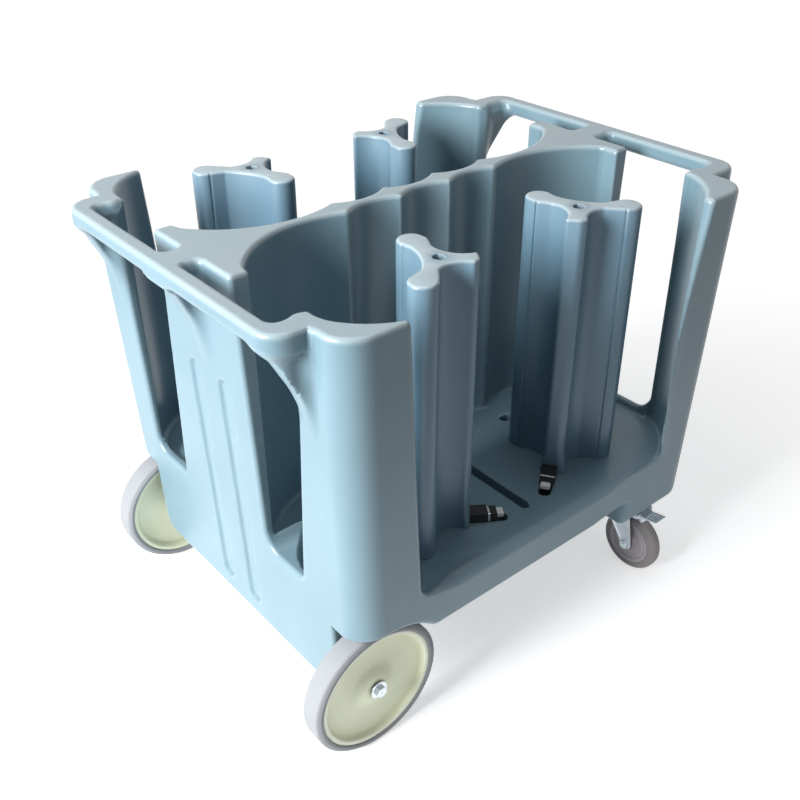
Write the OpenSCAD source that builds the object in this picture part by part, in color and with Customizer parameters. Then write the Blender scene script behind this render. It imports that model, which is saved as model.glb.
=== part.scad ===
// Dish transport trolley: a one-piece moulded body on two large fixed wheels
// and two braked swivel casters, with four towers that slide in deck slots.
// X runs along the length, with the large wheels at -X. Y runs across, with the
// near side at -Y. Z is up, and the floor is at zero.

/* [Overall] */
// Length over the two handles
body_length = 1000; // [960:5:1060]
// Width of the moulded body at its top
body_width = 750; // [720:5:800]
// Height of the body above the floor
body_height = 810; // [780:5:860]

/* [Moulded body] */
// Setback of each end wall behind its handle, at the top
handle_standoff = 60; // [52:1:70]
// How far each end wall leans in from top to bottom
end_draft = 25; // [10:1:30]
// How far each long side leans in from top to bottom
side_draft = 10; // [4:1:14]
// Radius of the upright corners
corner_radius = 52; // [44:1:60]
// Thickness of the moulded skin
skin = 6; // [4:0.5:8]
// Height of the deck that the dishes stand on
deck_height = 310; // [300:1:320]
// Height of the body's flat underside
base_height = 223; // [218:1:230]
// Height of the underside of the caster blocks
block_height = 171; // [168:1:176]
// Length of each caster block
block_length = 203; // [180:1:205]
// Slope length of each caster block's inner face
block_slope = 8; // [0:1:20]
// Width of each caster block
block_width = 152; // [144:1:165]
// Height of the lowest edge, under the axle
axle_box_height = 95; // [90:1:102]
// Length of the box that holds the axle, along its foot
axle_box_length = 120; // [112:1:130]
// Slope length of the axle box's inner face
axle_box_slope = 45; // [30:1:60]

/* [Divider and posts] */
// Radius of the four dish bays where they hollow the divider
bay_radius = 194; // [180:1:200]
// Distance of the bay centres from mid-length
bay_offset = 242; // [236:1:250]
// Thickness of the divider at its thinnest
divider_thin = 18; // [16:1:24]
// Thickness of the divider across its small cusps
divider_cusp = 54; // [44:1:60]
// Spread of the divider at its ends
divider_spread = 224; // [200:2:236]
// Radius of the three small hollows on each side
small_bay_radius = 93; // [80:1:110]
// Spacing of the small hollows
small_bay_pitch = 110; // [100:1:116]
// Radius of the hollow in each wheel-end post
wheel_post_radius = 139; // [130:1:145]
// Radius of the hollow in each caster-end post
caster_post_radius = 153; // [145:1:158]
// Length of each wheel-end post at its top
wheel_post_length = 112; // [104:1:120]
// Length of each caster-end post at its top
caster_post_length = 122; // [114:1:130]
// Lean of a wheel-end post's edge towards the opening
wheel_post_lean = 30; // [20:1:36]
// Lean of a caster-end post's edge towards the opening
caster_post_lean = 68; // [50:1:76]
// Corner radius of the side opening at the wheel end
small_corner = 28; // [22:1:34]
// Corner radius of the side opening at the caster end
large_corner = 70; // [50:1:80]
// Width of an end slot at its top
slot_top_width = 148; // [138:1:150]
// Lean of the slanted edge of each wheel-end slot
slot_lean = 44; // [30:1:50]
// Corner radius at the foot of an end slot
slot_corner = 36; // [24:1:44]

/* [Handles] */
// Width of a handle bar, seen from above
bar_width = 30; // [26:1:34]
// Depth of a handle bar
bar_depth = 36; // [30:1:42]
// Width across a handle frame
handle_span = 606; // [590:2:620]
// Width of the strap that ties the divider to a handle
strap_width = 54; // [44:1:64]
// Length of the gussets below a handle
gusset_drop = 104; // [90:1:120]
// Width of a gusset at its head
gusset_width = 84; // [70:1:96]

/* [Deck slots] */
// Width of the slots that the tower shoes slide in
slot_width = 22; // [18:0.5:26]
// Depth of the slots
slot_depth = 30; // [26:1:36]
// Angle of a tower's slot from the trolley's length
slot_angle = 34; // [28:1:40]
// Reach of a slot beyond the tower's centre, towards the opening
slot_reach = 114; // [108:1:122]
// Reach of a slot behind the tower's centre
slot_back = 38; // [36:1:44]
// Length of the straight slot at mid-length
mid_slot_length = 150; // [120:2:160]

/* [Towers] */
// Distance of the towers from mid-length
tower_offset = 150; // [146:1:156]
// Distance of the near towers from the side of the body
near_tower_inset = 141; // [137:1:145]
// Distance of the far towers from the side of the body
far_tower_inset = 101; // [99:1:113]
// Gap between the towers' tops and the body's top
tower_drop = 12; // [6:1:20]
// Reach of the arm that points at the divider
inner_arm_reach = 90; // [86:1:94]
// Reach of the arm that points at the post
outer_arm_reach = 97; // [93:1:100]
// Radius of the round heads of these two arms
head_radius = 25; // [22:0.5:27]
// Reach of the arm that carries the latch
latch_arm_reach = 69; // [66:1:74]
// Width of the latch arm's end
latch_arm_width = 24; // [20:1:28]
// Skin of a tower
tower_skin = 4; // [3:0.5:6]
// Diameter of the rod through a tower
rod_diameter = 12; // [8:0.5:13]
// Size across the flats of the hexagon hole in a tower's top
hex_flats = 19; // [17:0.5:21]

/* [Latches] */
// Length of a latch housing
latch_length = 32; // [28:1:36]
// Width of a latch housing
latch_width = 30; // [26:1:32]
// Height of a latch housing
latch_height = 24; // [20:1:28]
// Travel of the latch button
button_travel = 6; // [4:0.5:7]
// How far the button stands out
button_reach = 12; // [10:1:16]

/* [Large wheels] */
// Diameter over the tyre
wheel_diameter = 250; // [246:1:254]
// Width of the tread
wheel_width = 45; // [40:1:46]
// Diameter of the disc that the tyre seats on
rim_diameter = 222; // [214:1:226]
// Distance of the large wheels' axle from the end wall
axle_inset = 70; // [66:1:74]
// Distance of the large wheels' outer faces from the side of the body
wheel_face_inset = 32; // [29:1:35]
// Diameter of the axle
axle_diameter = 16; // [14:0.5:18]
// Gap between a large wheel and its arch
arch_gap = 15; // [12:1:18]

/* [Casters] */
// Diameter of a caster wheel
caster_diameter = 127; // [120:1:130]
// Width of a caster wheel
caster_width = 32; // [28:1:34]
// Distance of the caster pins from the end wall
swivel_end_inset = 128; // [122:1:132]
// Distance of the caster pins from the side of the body
swivel_side_inset = 85; // [81:1:89]
// Trail of a caster wheel behind its swivel pin
trail = 36; // [32:1:40]
// Thickness of the fork's steel
fork_steel = 3.5; // [2.5:0.5:4.5]
// Diameter of the swivel pin
swivel_pin = 14; // [12:0.5:16]
// Diameter of a caster's axle
caster_axle = 10; // [8:0.5:12]

/* [Fits] */
// Radial gap of a turning fit
running_gap = 0.05; // [0.02:0.01:0.1]
// Gap between faces that slide or turn past each other
face_gap = 0.3; // [0.2:0.05:0.6]
// Gap on each side of a shoe in its slot
shoe_gap = 0.5; // [0.3:0.1:1]

/* [Hidden] */
$fn = 64;
overrun = 20;
sliver = 0.01;
half_length = body_length / 2;
half_width = body_width / 2;
end_wall = half_length - handle_standoff;
form_height = body_height - axle_box_height;
near_tower_offset = half_width - near_tower_inset;
far_tower_offset = half_width - far_tower_inset;
axle_offset = end_wall - axle_inset;
wheel_face = half_width - wheel_face_inset;
swivel_offset = end_wall - swivel_end_inset;
swivel_side = half_width - swivel_side_inset;

axle_height = wheel_diameter / 2;
wheel_radius = wheel_diameter / 2;
arch_radius = wheel_radius + arch_gap;
wheel_inner = wheel_face - wheel_width;
well_gap = 8;
well_side = wheel_inner - well_gap;
axle_bore_gap = 0.3;
sleeve_wall = 8;

bay_side = bay_radius + divider_thin / 2;
small_bay_side = small_bay_radius + divider_thin / 2;
small_bays = [-1, 0, 1];
wheel_post_center = [285, 232];
caster_post_center = [250, 218];
slot_inner = divider_spread / 2;
slot_outer = slot_inner + slot_top_width;
slot_taper_height = 110;
tiny_corner = 12;
caster_slot_corner = 25;
web_thickness = 35;
wall_thickness = 28;
wall_reach = 320;

handle_corner = 40;
handle_inner_corner = 14;
handle_leg = 41;
gusset_foot = 30;
gusset_root = 14;

flute_width = 24;
flute_depth = 5;
flute_top = 590;
flute_foot = 150;
flute_offset = 44;

mid_slot_width = 18;
mid_slot_start = 318;
drain_offset = [175, 78];
drain_radius = 9;
drain_length = 12;

tower_foot = deck_height + face_gap;
tower_top = body_height - tower_drop;
tower_height = tower_top - tower_foot;
head_neck_share = 0.93;
inner_arm_way = 84;
outer_arm_way = 214;
outer_foot_way = -60;
outer_back_way = 124;
// Each hollow between two arms: its direction, and its depth from the hub and radius
latch_side_way = 18;
latch_side_hollow = [25, 56];
post_side_way = 149;
post_side_hollow = [34, 88];
open_side_way = -93;
open_side_hollow = [38, 70];
hub_tube_wall = 5;
hex_depth = 22;
rod_head_height = 8;
rod_head_flats = hex_flats - 1;
shoe_length = 50;
shoe_height = 22;
shoe_width = slot_width - 2 * shoe_gap;
rod_gap = 0.2;

latch_lift = 2;
latch_wall = 3;
button_width = latch_width - 2 * latch_wall - 2;
button_height = latch_height - 2 * latch_wall - 2;
button_depth = 14;
button_gap = 0.4;

tyre_wall = (wheel_diameter - rim_diameter) / 2;
rim_radius = rim_diameter / 2;
rim_lip = 7;
web_face = 10;
web_plate = 8;
hub_radius = 26;
hub_face = 3;
bush_wall = 3;
bush_flange = 2;
hub_bolt_radius = 5;
hub_bolt_length = 30;
hub_head_flats = 19;
hub_head_height = 8;
hub_washer_radius = 16;
hub_washer_thickness = 3;
collar_radius = 15;

caster_radius = caster_diameter / 2;
caster_height = caster_radius;
caster_tyre_wall = 17;
caster_core_radius = caster_radius - caster_tyre_wall;
plate_thickness = 5;
plate_length = 104;
plate_breadth = 92;
plate_hole_x = 80;
plate_hole_y = 66;
plate_bolt_radius = 4;
plate_bolt_length = 24;
plate_bolt_flats = 13;
plate_bolt_head = 5.5;
race_radius = 29;
race_height = 10;
race_bore = 12;
crown_top = block_height - plate_thickness - race_height - face_gap;
crown_bottom = crown_top - fork_steel;
fork_inside = caster_width / 2 + 4;
fork_outside = fork_inside + fork_steel;
fork_top_length = 62;
fork_foot_radius = 13;
caster_bush_wall = 3;
caster_bush_length = caster_width + 4;
nut_flats = 17;
nut_height = 8;
swivel_head_radius = 11;
swivel_head_height = 4;

pedal_width = 30;
pedal_thickness = 3;
pedal_pivot_drop = 9;
pedal_pivot_reach = 52;
pedal_pin_radius = 3;
pedal_eye_radius = 6;
pedal_reach = 42;
pedal_rise = 6;
lobe_angle = 35;
lobe_length = 17;
lobe_width = 8;

SIDES = ["near", "far"];
CORNERS = ["near_left", "near_right", "far_left", "far_right"];

// Points of an arc about a centre, from one angle to another
function arc(center, radius, from, to, steps = 8) =
    [for (k = [0:steps]) center + radius * [cos(from + (to - from) * k / steps), sin(from + (to - from) * k / steps)]];

// Moulded body

// The drafted outer block, shrunk on every side by inset
module drafted_block(inset) {
    r = corner_radius - inset;
    hull()
        for (sx = [-1, 1], sy = [-1, 1]) {
            translate([sx * (end_wall - corner_radius), sy * (half_width - corner_radius), body_height - inset - sliver])
                cylinder(h = sliver, r = r, $fn = 48);
            translate([sx * (end_wall - end_draft - corner_radius),
                       sy * (half_width - side_draft - corner_radius), axle_box_height + inset])
                cylinder(h = sliver, r = r, $fn = 48);
        }
}

// Plan of the divider with its scalloped sides
module divider_plan(inset) {
    difference() {
        square([body_length, divider_spread - 2 * inset], center = true);
        for (sx = [-1, 1], sy = [-1, 1])
            translate([sx * bay_offset, sy * bay_side])
                circle(r = bay_radius + inset, $fn = 128);
        for (sy = [-1, 1]) {
            translate([0, sy * (divider_cusp / 2 - inset + divider_spread / 2)])
                square([3 * small_bay_pitch, divider_spread], center = true);
            for (k = small_bays)
                translate([k * small_bay_pitch, sy * small_bay_side])
                    circle(r = small_bay_radius + inset);
        }
    }
}

// Plan of the four corner posts
module post_plan(inset) {
    for (sy = [-1, 1]) {
        difference() {
            translate([-end_wall - overrun, sy > 0 ? slot_inner : -half_width - overrun])
                square([end_wall, half_width - slot_inner + overrun]);
            translate([-wheel_post_center.x, sy * wheel_post_center.y])
                circle(r = wheel_post_radius + inset, $fn = 96);
            bay_core(-1, sy, inset);
        }
        difference() {
            translate([overrun, sy > 0 ? slot_inner : -half_width - overrun])
                square([end_wall, half_width - slot_inner + overrun]);
            translate([caster_post_center.x, sy * caster_post_center.y])
                circle(r = caster_post_radius + inset, $fn = 96);
            bay_core(1, sy, inset);
        }
    }
}

// The open middle of a bay, which clears the plan between two posts
module bay_core(sx, sy, inset) {
    depth = bay_side + sqrt(pow(wheel_post_radius, 2) - pow(wheel_post_radius / 2, 2));
    translate([sx > 0 ? -overrun : -bay_offset - inset, sy > 0 ? -overrun : -depth])
        square([bay_offset + overrun + inset, depth + overrun]);
}

// Everything above the deck that is not divider or post
module above_deck(inset) {
    difference() {
        translate([-body_length, -body_width, deck_height - inset])
            cube([2 * body_length, 2 * body_width, body_height]);
        translate([0, 0, axle_height])
            linear_extrude(body_height) {
                divider_plan(inset);
                post_plan(inset);
                if (inset == 0)
                    end_webs();
            }
    }
}

// End wall at the wheel end, thicker beside the slots
module end_webs() {
    for (sy = [-1, 1])
        translate([-end_wall - overrun, sy > 0 ? 0 : -slot_outer])
            square([web_thickness + overrun, slot_outer]);
    translate([-end_wall - overrun, -wall_reach])
        square([wall_thickness + overrun, 2 * wall_reach]);
}

// Opening in each long side, between the posts
module side_openings(inset) {
    left_top = end_wall - wheel_post_length + inset;
    left_foot = left_top - wheel_post_lean;
    right_top = end_wall - caster_post_length + inset;
    right_foot = right_top - caster_post_lean;
    outline = concat(
        [[-left_top, body_height + overrun]],
        arc([-left_foot + small_corner + inset, deck_height + small_corner], small_corner + inset, 180, 270),
        arc([right_foot - large_corner - inset, deck_height + large_corner], large_corner + inset, 270, 360),
        [[right_top, body_height + overrun]]);
    for (sy = [-1, 1])
        translate([0, sy > 0 ? body_width : -bay_side, 0])
            rotate([90, 0, 0])
                linear_extrude(body_width - bay_side)
                    polygon(outline);
}

// One wheel-end slot: its +Y edge is upright and its -Y edge slants
module wheel_end_slot(low, high, inset) {
    outline = concat(
        arc([low + slot_lean + tiny_corner, deck_height + tiny_corner], tiny_corner + inset, 180, 270, 3),
        arc([high - slot_corner, deck_height + slot_corner], slot_corner + inset, 270, 360, 5),
        [[high + inset, body_height + overrun],
         [low - inset, body_height + overrun],
         [low - inset, body_height - slot_taper_height]]);
    translate([-half_length - overrun, 0, 0])
        rotate([90, 0, 90])
            linear_extrude(half_length - bay_offset + overrun)
                polygon(outline);
}

// One caster-end slot, mirrored for the far side
module caster_end_slot(side, inset) {
    outline = concat(
        arc([slot_inner + caster_slot_corner, deck_height + caster_slot_corner],
            caster_slot_corner + inset, 180, 270, 4),
        arc([slot_outer - caster_slot_corner, deck_height + caster_slot_corner],
            caster_slot_corner + inset, 270, 360, 4),
        [[slot_outer + inset, body_height + overrun], [slot_inner - inset, body_height + overrun]]);
    mirror([0, side > 0 ? 0 : 1, 0])
        translate([bay_offset, 0, 0])
            rotate([90, 0, 90])
                linear_extrude(half_length - bay_offset + overrun)
                    polygon(outline);
}

module end_slots(inset) {
    wheel_end_slot(-slot_outer, -slot_inner, inset);
    wheel_end_slot(slot_inner, slot_outer, inset);
    for (side = [-1, 1])
        caster_end_slot(side, inset);
}

// Hollow under the deck, between the axle box and the caster blocks
module underside(inset) {
    box_face = -end_wall + end_draft + axle_box_length - inset;
    block_face = end_wall - end_draft - block_length + inset;
    translate([0, body_width, 0])
        rotate([90, 0, 0])
            linear_extrude(2 * body_width)
                polygon([
                    [box_face, 0],
                    [box_face, axle_box_height + sleeve_wall + inset],
                    [box_face + axle_box_slope, base_height + inset],
                    [block_face - block_slope, base_height + inset],
                    [block_face, block_height + inset],
                    [body_length, block_height + inset],
                    [body_length, 0]]);
    block_side = half_width - side_draft - block_width + inset;
    translate([block_face - overrun, -block_side, 0])
        cube([body_length, 2 * block_side, base_height + inset]);
}

// Arched wells over the large wheels
module wheel_wells(inset) {
    for (side = [-1, 1])
        translate([-axle_offset, side * (well_side - inset), axle_height])
            rotate([-side * 90, 0, 0])
                cylinder(h = body_width, r = arch_radius + inset, $fn = 96);
}

// Round-ended groove in the deck, from one point to another along X
module groove(start, end, width, depth, inset) {
    translate([0, 0, deck_height - depth - inset])
        linear_extrude(depth + inset + overrun) {
            translate([start, -width / 2 - inset])
                square([end - start, width + 2 * inset]);
            for (x = [start, end])
                translate([x, 0])
                    circle(d = width + 2 * inset);
        }
}

module deck_grooves(inset) {
    for (k = [0:3])
        at_tower(k)
            rotate([0, 0, -slot_angle])
                groove(-slot_back, slot_reach, slot_width, slot_depth, inset);
    for (side = [-1, 1])
        translate([0, side * mid_slot_start, 0])
            rotate([0, 0, -side * 90])
                groove(0, mid_slot_length, mid_slot_width, slot_depth, inset);
    for (sx = [-1, 1], sy = [-1, 1])
        translate([sx * drain_offset.x, sy * drain_offset.y, 0])
            groove(-drain_length / 2, drain_length / 2, 2 * drain_radius, deck_height, inset);
}

module axle_bore(inset) {
    translate([-axle_offset, -body_width / 2, axle_height])
        rotate([-90, 0, 0])
            cylinder(h = body_width, r = axle_diameter / 2 + axle_bore_gap + inset);
}

module plate_holes(inset) {
    for (side = [-1, 1])
        translate([swivel_offset, side * swivel_side, 0])
            at_plate_bolts()
                translate([0, 0, block_height - overrun])
                    cylinder(h = plate_bolt_length + overrun + inset, r = plate_bolt_radius + inset);
}

// Two shallow upright flutes in the wheel-end wall
module flutes(inset) {
    for (sy = [-1, 1])
        translate([-half_length, sy * flute_offset, 0])
            rotate([90, 0, 90])
                linear_extrude(handle_standoff + flute_depth + inset) {
                    translate([-flute_width / 2 - inset, flute_foot])
                        square([flute_width + 2 * inset, flute_top - flute_foot]);
                    for (z = [flute_foot, flute_top])
                        translate([0, z])
                            circle(d = flute_width + 2 * inset);
                }
}

module moulded_form(inset) {
    difference() {
        drafted_block(inset);
        above_deck(inset);
        side_openings(inset);
        end_slots(inset);
        underside(inset);
        wheel_wells(inset);
        deck_grooves(inset);
        axle_bore(inset);
        plate_holes(inset);
        flutes(inset);
    }
}

module rounded_square(size, r) {
    square([size.x - 2 * r, size.y], center = true);
    square([size.x, size.y - 2 * r], center = true);
    for (sx = [-1, 1], sy = [-1, 1])
        translate([sx * (size.x / 2 - r), sy * (size.y / 2 - r)])
            circle(r = r);
}

// Handle frames at both ends, with the straps to the divider
module handles() {
    translate([0, 0, body_height - bar_depth])
        linear_extrude(bar_depth)
            difference() {
                rounded_square([body_length, handle_span], handle_corner);
                rounded_square([body_length - 2 * bar_width, handle_span - 2 * handle_leg], handle_inner_corner);
                square([2 * (end_wall - gusset_root), body_width], center = true);
            }
    for (sx = [-1, 1])
        translate([sx * (half_length - bar_width / 2 - handle_standoff / 2), 0, body_height - bar_depth])
            linear_extrude(bar_depth)
                square([handle_standoff, strap_width], center = true);
}

// A gusset that runs from under a handle down to the end wall
module gusset(head_width, foot_width) {
    lean = end_draft * gusset_drop / form_height;
    intersection() {
        translate([0, head_width, 0])
            rotate([90, 0, 0])
                linear_extrude(2 * head_width)
                    polygon([
                        [half_length - sliver, body_height - bar_depth / 2],
                        [half_length - sliver, body_height - bar_depth + sliver],
                        [end_wall - lean, body_height - bar_depth - gusset_drop],
                        [end_wall - lean - gusset_root, body_height - bar_depth - gusset_drop],
                        [end_wall - gusset_root, body_height - bar_depth / 2]]);
        rotate([90, 0, 90])
            linear_extrude(body_length)
                polygon([
                    [-head_width / 2, body_height],
                    [head_width / 2, body_height],
                    [foot_width / 2, body_height - bar_depth - gusset_drop],
                    [-foot_width / 2, body_height - bar_depth - gusset_drop]]);
    }
}

module gussets() {
    post_gusset = handle_span / 2 - handle_leg / 2;
    for (sx = [0, 1])
        mirror([sx, 0, 0]) {
            gusset(strap_width, gusset_foot);
            for (sy = [-1, 1])
                translate([0, sy * post_gusset, 0])
                    gusset(handle_leg - sliver, gusset_foot);
        }
}

module body_shell() {
    color([0.45, 0.56, 0.62]) {
        difference() {
            moulded_form(0);
            moulded_form(skin);
        }
        handles();
        gussets();
    }
}

// Towers

// Places a child at tower k: near left, near right, far left, far right
module at_tower(k) {
    side = k < 2 ? -1 : 1;
    end = k % 2 == 0 ? -1 : 1;
    translate([end * tower_offset, k < 2 ? -near_tower_offset : far_tower_offset, 0])
        mirror([0, side > 0 ? 1 : 0, 0])
            mirror([end > 0 ? 1 : 0, 0, 0])
                children();
}

function toward(way, reach) = reach * [cos(way), sin(way)];

// Plan of a tower whose latch arm points along its slot
module tower_plan(inset) {
    r = head_radius - inset;
    inner = toward(inner_arm_way, inner_arm_reach);
    outer = toward(outer_arm_way, outer_arm_reach);
    tip = toward(-slot_angle, latch_arm_reach - inset);
    edge = toward(90 - slot_angle, latch_arm_width / 2 - inset);
    neck = r * head_neck_share;
    difference() {
        polygon([
            outer + toward(outer_back_way, neck), outer + toward(outer_foot_way, neck),
            tip - edge, tip + edge, inner + [neck, 0], inner - [neck, 0]]);
        hollow(latch_side_way, latch_side_hollow, inset);
        hollow(post_side_way, post_side_hollow, inset);
        hollow(open_side_way, open_side_hollow, inset);
    }
    for (head = [inner, outer])
        translate(head)
            circle(r = r);
}

// Round hollow whose nearest point lies at a depth from the hub
module hollow(way, size, inset) {
    translate(toward(way, size[0] + size[1]))
        circle(r = size[1] + inset, $fn = 96);
}

module tower() {
    color([0.47, 0.60, 0.68])
        difference() {
            translate([0, 0, tower_foot])
                linear_extrude(tower_height)
                    tower_plan(0);
            difference() {
                translate([0, 0, tower_foot + tower_skin])
                    linear_extrude(tower_height - 2 * tower_skin)
                        tower_plan(tower_skin);
                translate([0, 0, tower_foot])
                    cylinder(h = tower_height, r = rod_diameter / 2 + rod_gap + hub_tube_wall);
                translate([0, 0, tower_top - hex_depth - tower_skin])
                    cylinder(h = hex_depth + tower_skin, r = hex_flats);
            }
            translate([0, 0, tower_foot - overrun])
                cylinder(h = tower_height + overrun - hex_depth + face_gap, r = rod_diameter / 2 + rod_gap);
            translate([0, 0, tower_top - hex_depth])
                cylinder(h = hex_depth + overrun, d = hex_flats / cos(30), $fn = 6);
        }
}

module rod() {
    color("silver") {
        translate([0, 0, deck_height - shoe_height])
            cylinder(h = tower_top - hex_depth - deck_height + shoe_height, d = rod_diameter);
        translate([0, 0, tower_top - hex_depth])
            cylinder(h = rod_head_height, d = rod_head_flats / cos(30), $fn = 6);
    }
}

module shoe() {
    color([0.2, 0.2, 0.2])
        difference() {
            translate([0, 0, deck_height - shoe_height])
                linear_extrude(shoe_height + face_gap)
                    rotate(-slot_angle) {
                        square([shoe_length - shoe_width, shoe_width], center = true);
                        for (sx = [-1, 1])
                            translate([sx * (shoe_length - shoe_width) / 2, 0])
                                circle(d = shoe_width);
                    }
            translate([0, 0, deck_height - shoe_height - overrun])
                cylinder(h = shoe_height + 2 * overrun, d = rod_diameter);
        }
}

// Places a child at the foot of the latch arm, with +X along the arm
module at_latch() {
    rotate([0, 0, -slot_angle])
        translate([latch_arm_reach, 0, deck_height + latch_lift])
            children();
}

module latch() {
    color([0.08, 0.08, 0.09])
        at_latch()
            difference() {
                translate([0, -latch_width / 2, 0])
                    cube([latch_length, latch_width, latch_height]);
                translate([latch_length - button_depth - button_travel - 1, -button_width / 2 - button_gap,
                           (latch_height - button_height) / 2 - button_gap])
                    cube([latch_length, button_width + 2 * button_gap, button_height + 2 * button_gap]);
            }
}

module button() {
    color("white")
        at_latch()
            translate([latch_length - button_depth, -button_width / 2, (latch_height - button_height) / 2])
                cube([button_depth + button_reach, button_width, button_height]);
}

// Large wheels

// Places a child at a large wheel's centre plane, with +Z out along the axle
module at_wheel(side) {
    translate([-axle_offset, side * (wheel_face - wheel_width / 2), axle_height])
        rotate([-side * 90, 0, 0])
            children();
}

module axle() {
    color("silver")
        difference() {
            translate([-axle_offset, -wheel_face + hub_face, axle_height])
                rotate([-90, 0, 0])
                    cylinder(h = 2 * (wheel_face - hub_face), d = axle_diameter);
            for (side = [-1, 1])
                at_wheel(side)
                    translate([0, 0, wheel_width / 2 - hub_face - hub_bolt_length])
                        cylinder(h = hub_bolt_length + overrun, r = hub_bolt_radius);
        }
}

module wheel_disc(side) {
    half = wheel_width / 2;
    bore = axle_diameter / 2 + running_gap + bush_wall;
    rim_in = rim_radius - rim_lip;
    color([0.80, 0.84, 0.72])
        at_wheel(side)
            rotate_extrude($fn = 96)
                polygon([
                    [bore, -half + hub_face],
                    [hub_radius, -half + hub_face],
                    [hub_radius + web_plate, -web_plate / 2 - web_face / 2],
                    [rim_in - web_plate, -web_plate / 2 - web_face / 2],
                    [rim_in, -half + hub_face],
                    [rim_radius, -half + hub_face],
                    [rim_radius, half - hub_face],
                    [rim_in, half - hub_face],
                    [rim_in - web_plate / 2, half - web_face],
                    [hub_radius + web_plate, half - web_face - hub_face],
                    [hub_radius, half - hub_face - bush_flange],
                    [bore, half - hub_face - bush_flange]]);
}

module tyre(side) {
    half = wheel_width / 2;
    crown = tyre_wall / 2;
    color([0.55, 0.55, 0.57])
        at_wheel(side)
            rotate_extrude($fn = 96)
                polygon(concat(
                    [[rim_radius, half - hub_face], [rim_radius + hub_face, half]],
                    arc([wheel_radius - crown, half - crown], crown, 90, 0, 5),
                    arc([wheel_radius - crown, -half + crown], crown, 0, -90, 5),
                    [[rim_radius + hub_face, -half], [rim_radius, -half + hub_face]]));
}

module wheel_bush(side) {
    half = wheel_width / 2;
    inner = axle_diameter / 2 + running_gap;
    color([0.25, 0.25, 0.25])
        at_wheel(side)
            difference() {
                union() {
                    translate([0, 0, -half + hub_face])
                        cylinder(h = wheel_width - 2 * hub_face - bush_flange, r = inner + bush_wall);
                    translate([0, 0, half - hub_face - bush_flange])
                        cylinder(h = bush_flange, r = inner + 2 * bush_wall);
                }
                translate([0, 0, -wheel_width])
                    cylinder(h = 2 * wheel_width, r = inner);
            }
}

// Collar that keeps a wheel off the body's flank
module collar(side) {
    half = wheel_width / 2;
    color("silver")
        at_wheel(side)
            difference() {
                translate([0, 0, -half - well_gap])
                    cylinder(h = well_gap + hub_face - face_gap, r = collar_radius);
                translate([0, 0, -wheel_width])
                    cylinder(h = wheel_width, d = axle_diameter);
            }
}

module hub_washer(side) {
    half = wheel_width / 2;
    color("silver")
        at_wheel(side)
            difference() {
                translate([0, 0, half - hub_face + face_gap])
                    cylinder(h = hub_washer_thickness, r = hub_washer_radius);
                translate([0, 0, 0])
                    cylinder(h = wheel_width, r = hub_bolt_radius);
            }
}

module hub_bolt(side) {
    head = wheel_width / 2 - hub_face + face_gap + hub_washer_thickness;
    color("silver")
        at_wheel(side) {
            translate([0, 0, head - hub_bolt_length])
                cylinder(h = hub_bolt_length, r = hub_bolt_radius);
            translate([0, 0, head])
                cylinder(h = hub_head_height, d = hub_head_flats / cos(30), $fn = 6);
        }
}

// Casters

// Places a child on a swivel pin's axis, with the wheel trailing outwards
module at_caster(side) {
    translate([swivel_offset, side * swivel_side, 0])
        mirror([0, side > 0 ? 0 : 1, 0])
            children();
}

module at_plate_bolts() {
    for (sx = [-1, 1], sy = [-1, 1])
        translate([sx * plate_hole_x / 2, sy * plate_hole_y / 2, 0])
            children();
}

module caster_plate(side) {
    color("silver")
        at_caster(side)
            difference() {
                translate([0, 0, block_height - plate_thickness])
                    linear_extrude(plate_thickness)
                        rounded_square([plate_length, plate_breadth], plate_thickness);
                at_plate_bolts()
                    translate([0, 0, block_height - 2 * plate_thickness])
                        cylinder(h = 3 * plate_thickness, r = plate_bolt_radius);
                translate([0, 0, block_height - 2 * plate_thickness])
                    cylinder(h = 3 * plate_thickness, d = swivel_pin);
            }
}

module plate_bolts(side) {
    color("silver")
        at_caster(side)
            at_plate_bolts() {
                translate([0, 0, block_height - plate_thickness])
                    cylinder(h = plate_bolt_length + plate_thickness, r = plate_bolt_radius);
                translate([0, 0, block_height - plate_thickness - plate_bolt_head])
                    cylinder(h = plate_bolt_head, d = plate_bolt_flats / cos(30), $fn = 6);
            }
}

module swivel_race(side) {
    color("silver")
        at_caster(side)
            difference() {
                translate([0, 0, block_height - plate_thickness - race_height])
                    cylinder(h = race_height, r = race_radius);
                translate([0, 0, block_height - plate_thickness - 2 * race_height])
                    cylinder(h = 3 * race_height, r = race_bore);
            }
}

module swivel_pin_piece(side) {
    color("silver")
        at_caster(side) {
            translate([0, 0, crown_bottom - face_gap - sliver])
                cylinder(h = block_height - crown_bottom + face_gap, d = swivel_pin);
            translate([0, 0, crown_bottom - face_gap - swivel_head_height])
                cylinder(h = swivel_head_height, r = swivel_head_radius);
        }
}

// One cheek of the fork, seen along the axle
module cheek_outline() {
    foot = [trail, caster_height];
    polygon(concat(
        [[-fork_top_length / 2, crown_top], [-fork_top_length / 2, crown_bottom]],
        arc(foot, fork_foot_radius, 190, 370),
        [[fork_top_length / 2, crown_bottom], [fork_top_length / 2, crown_top]]));
}

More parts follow.
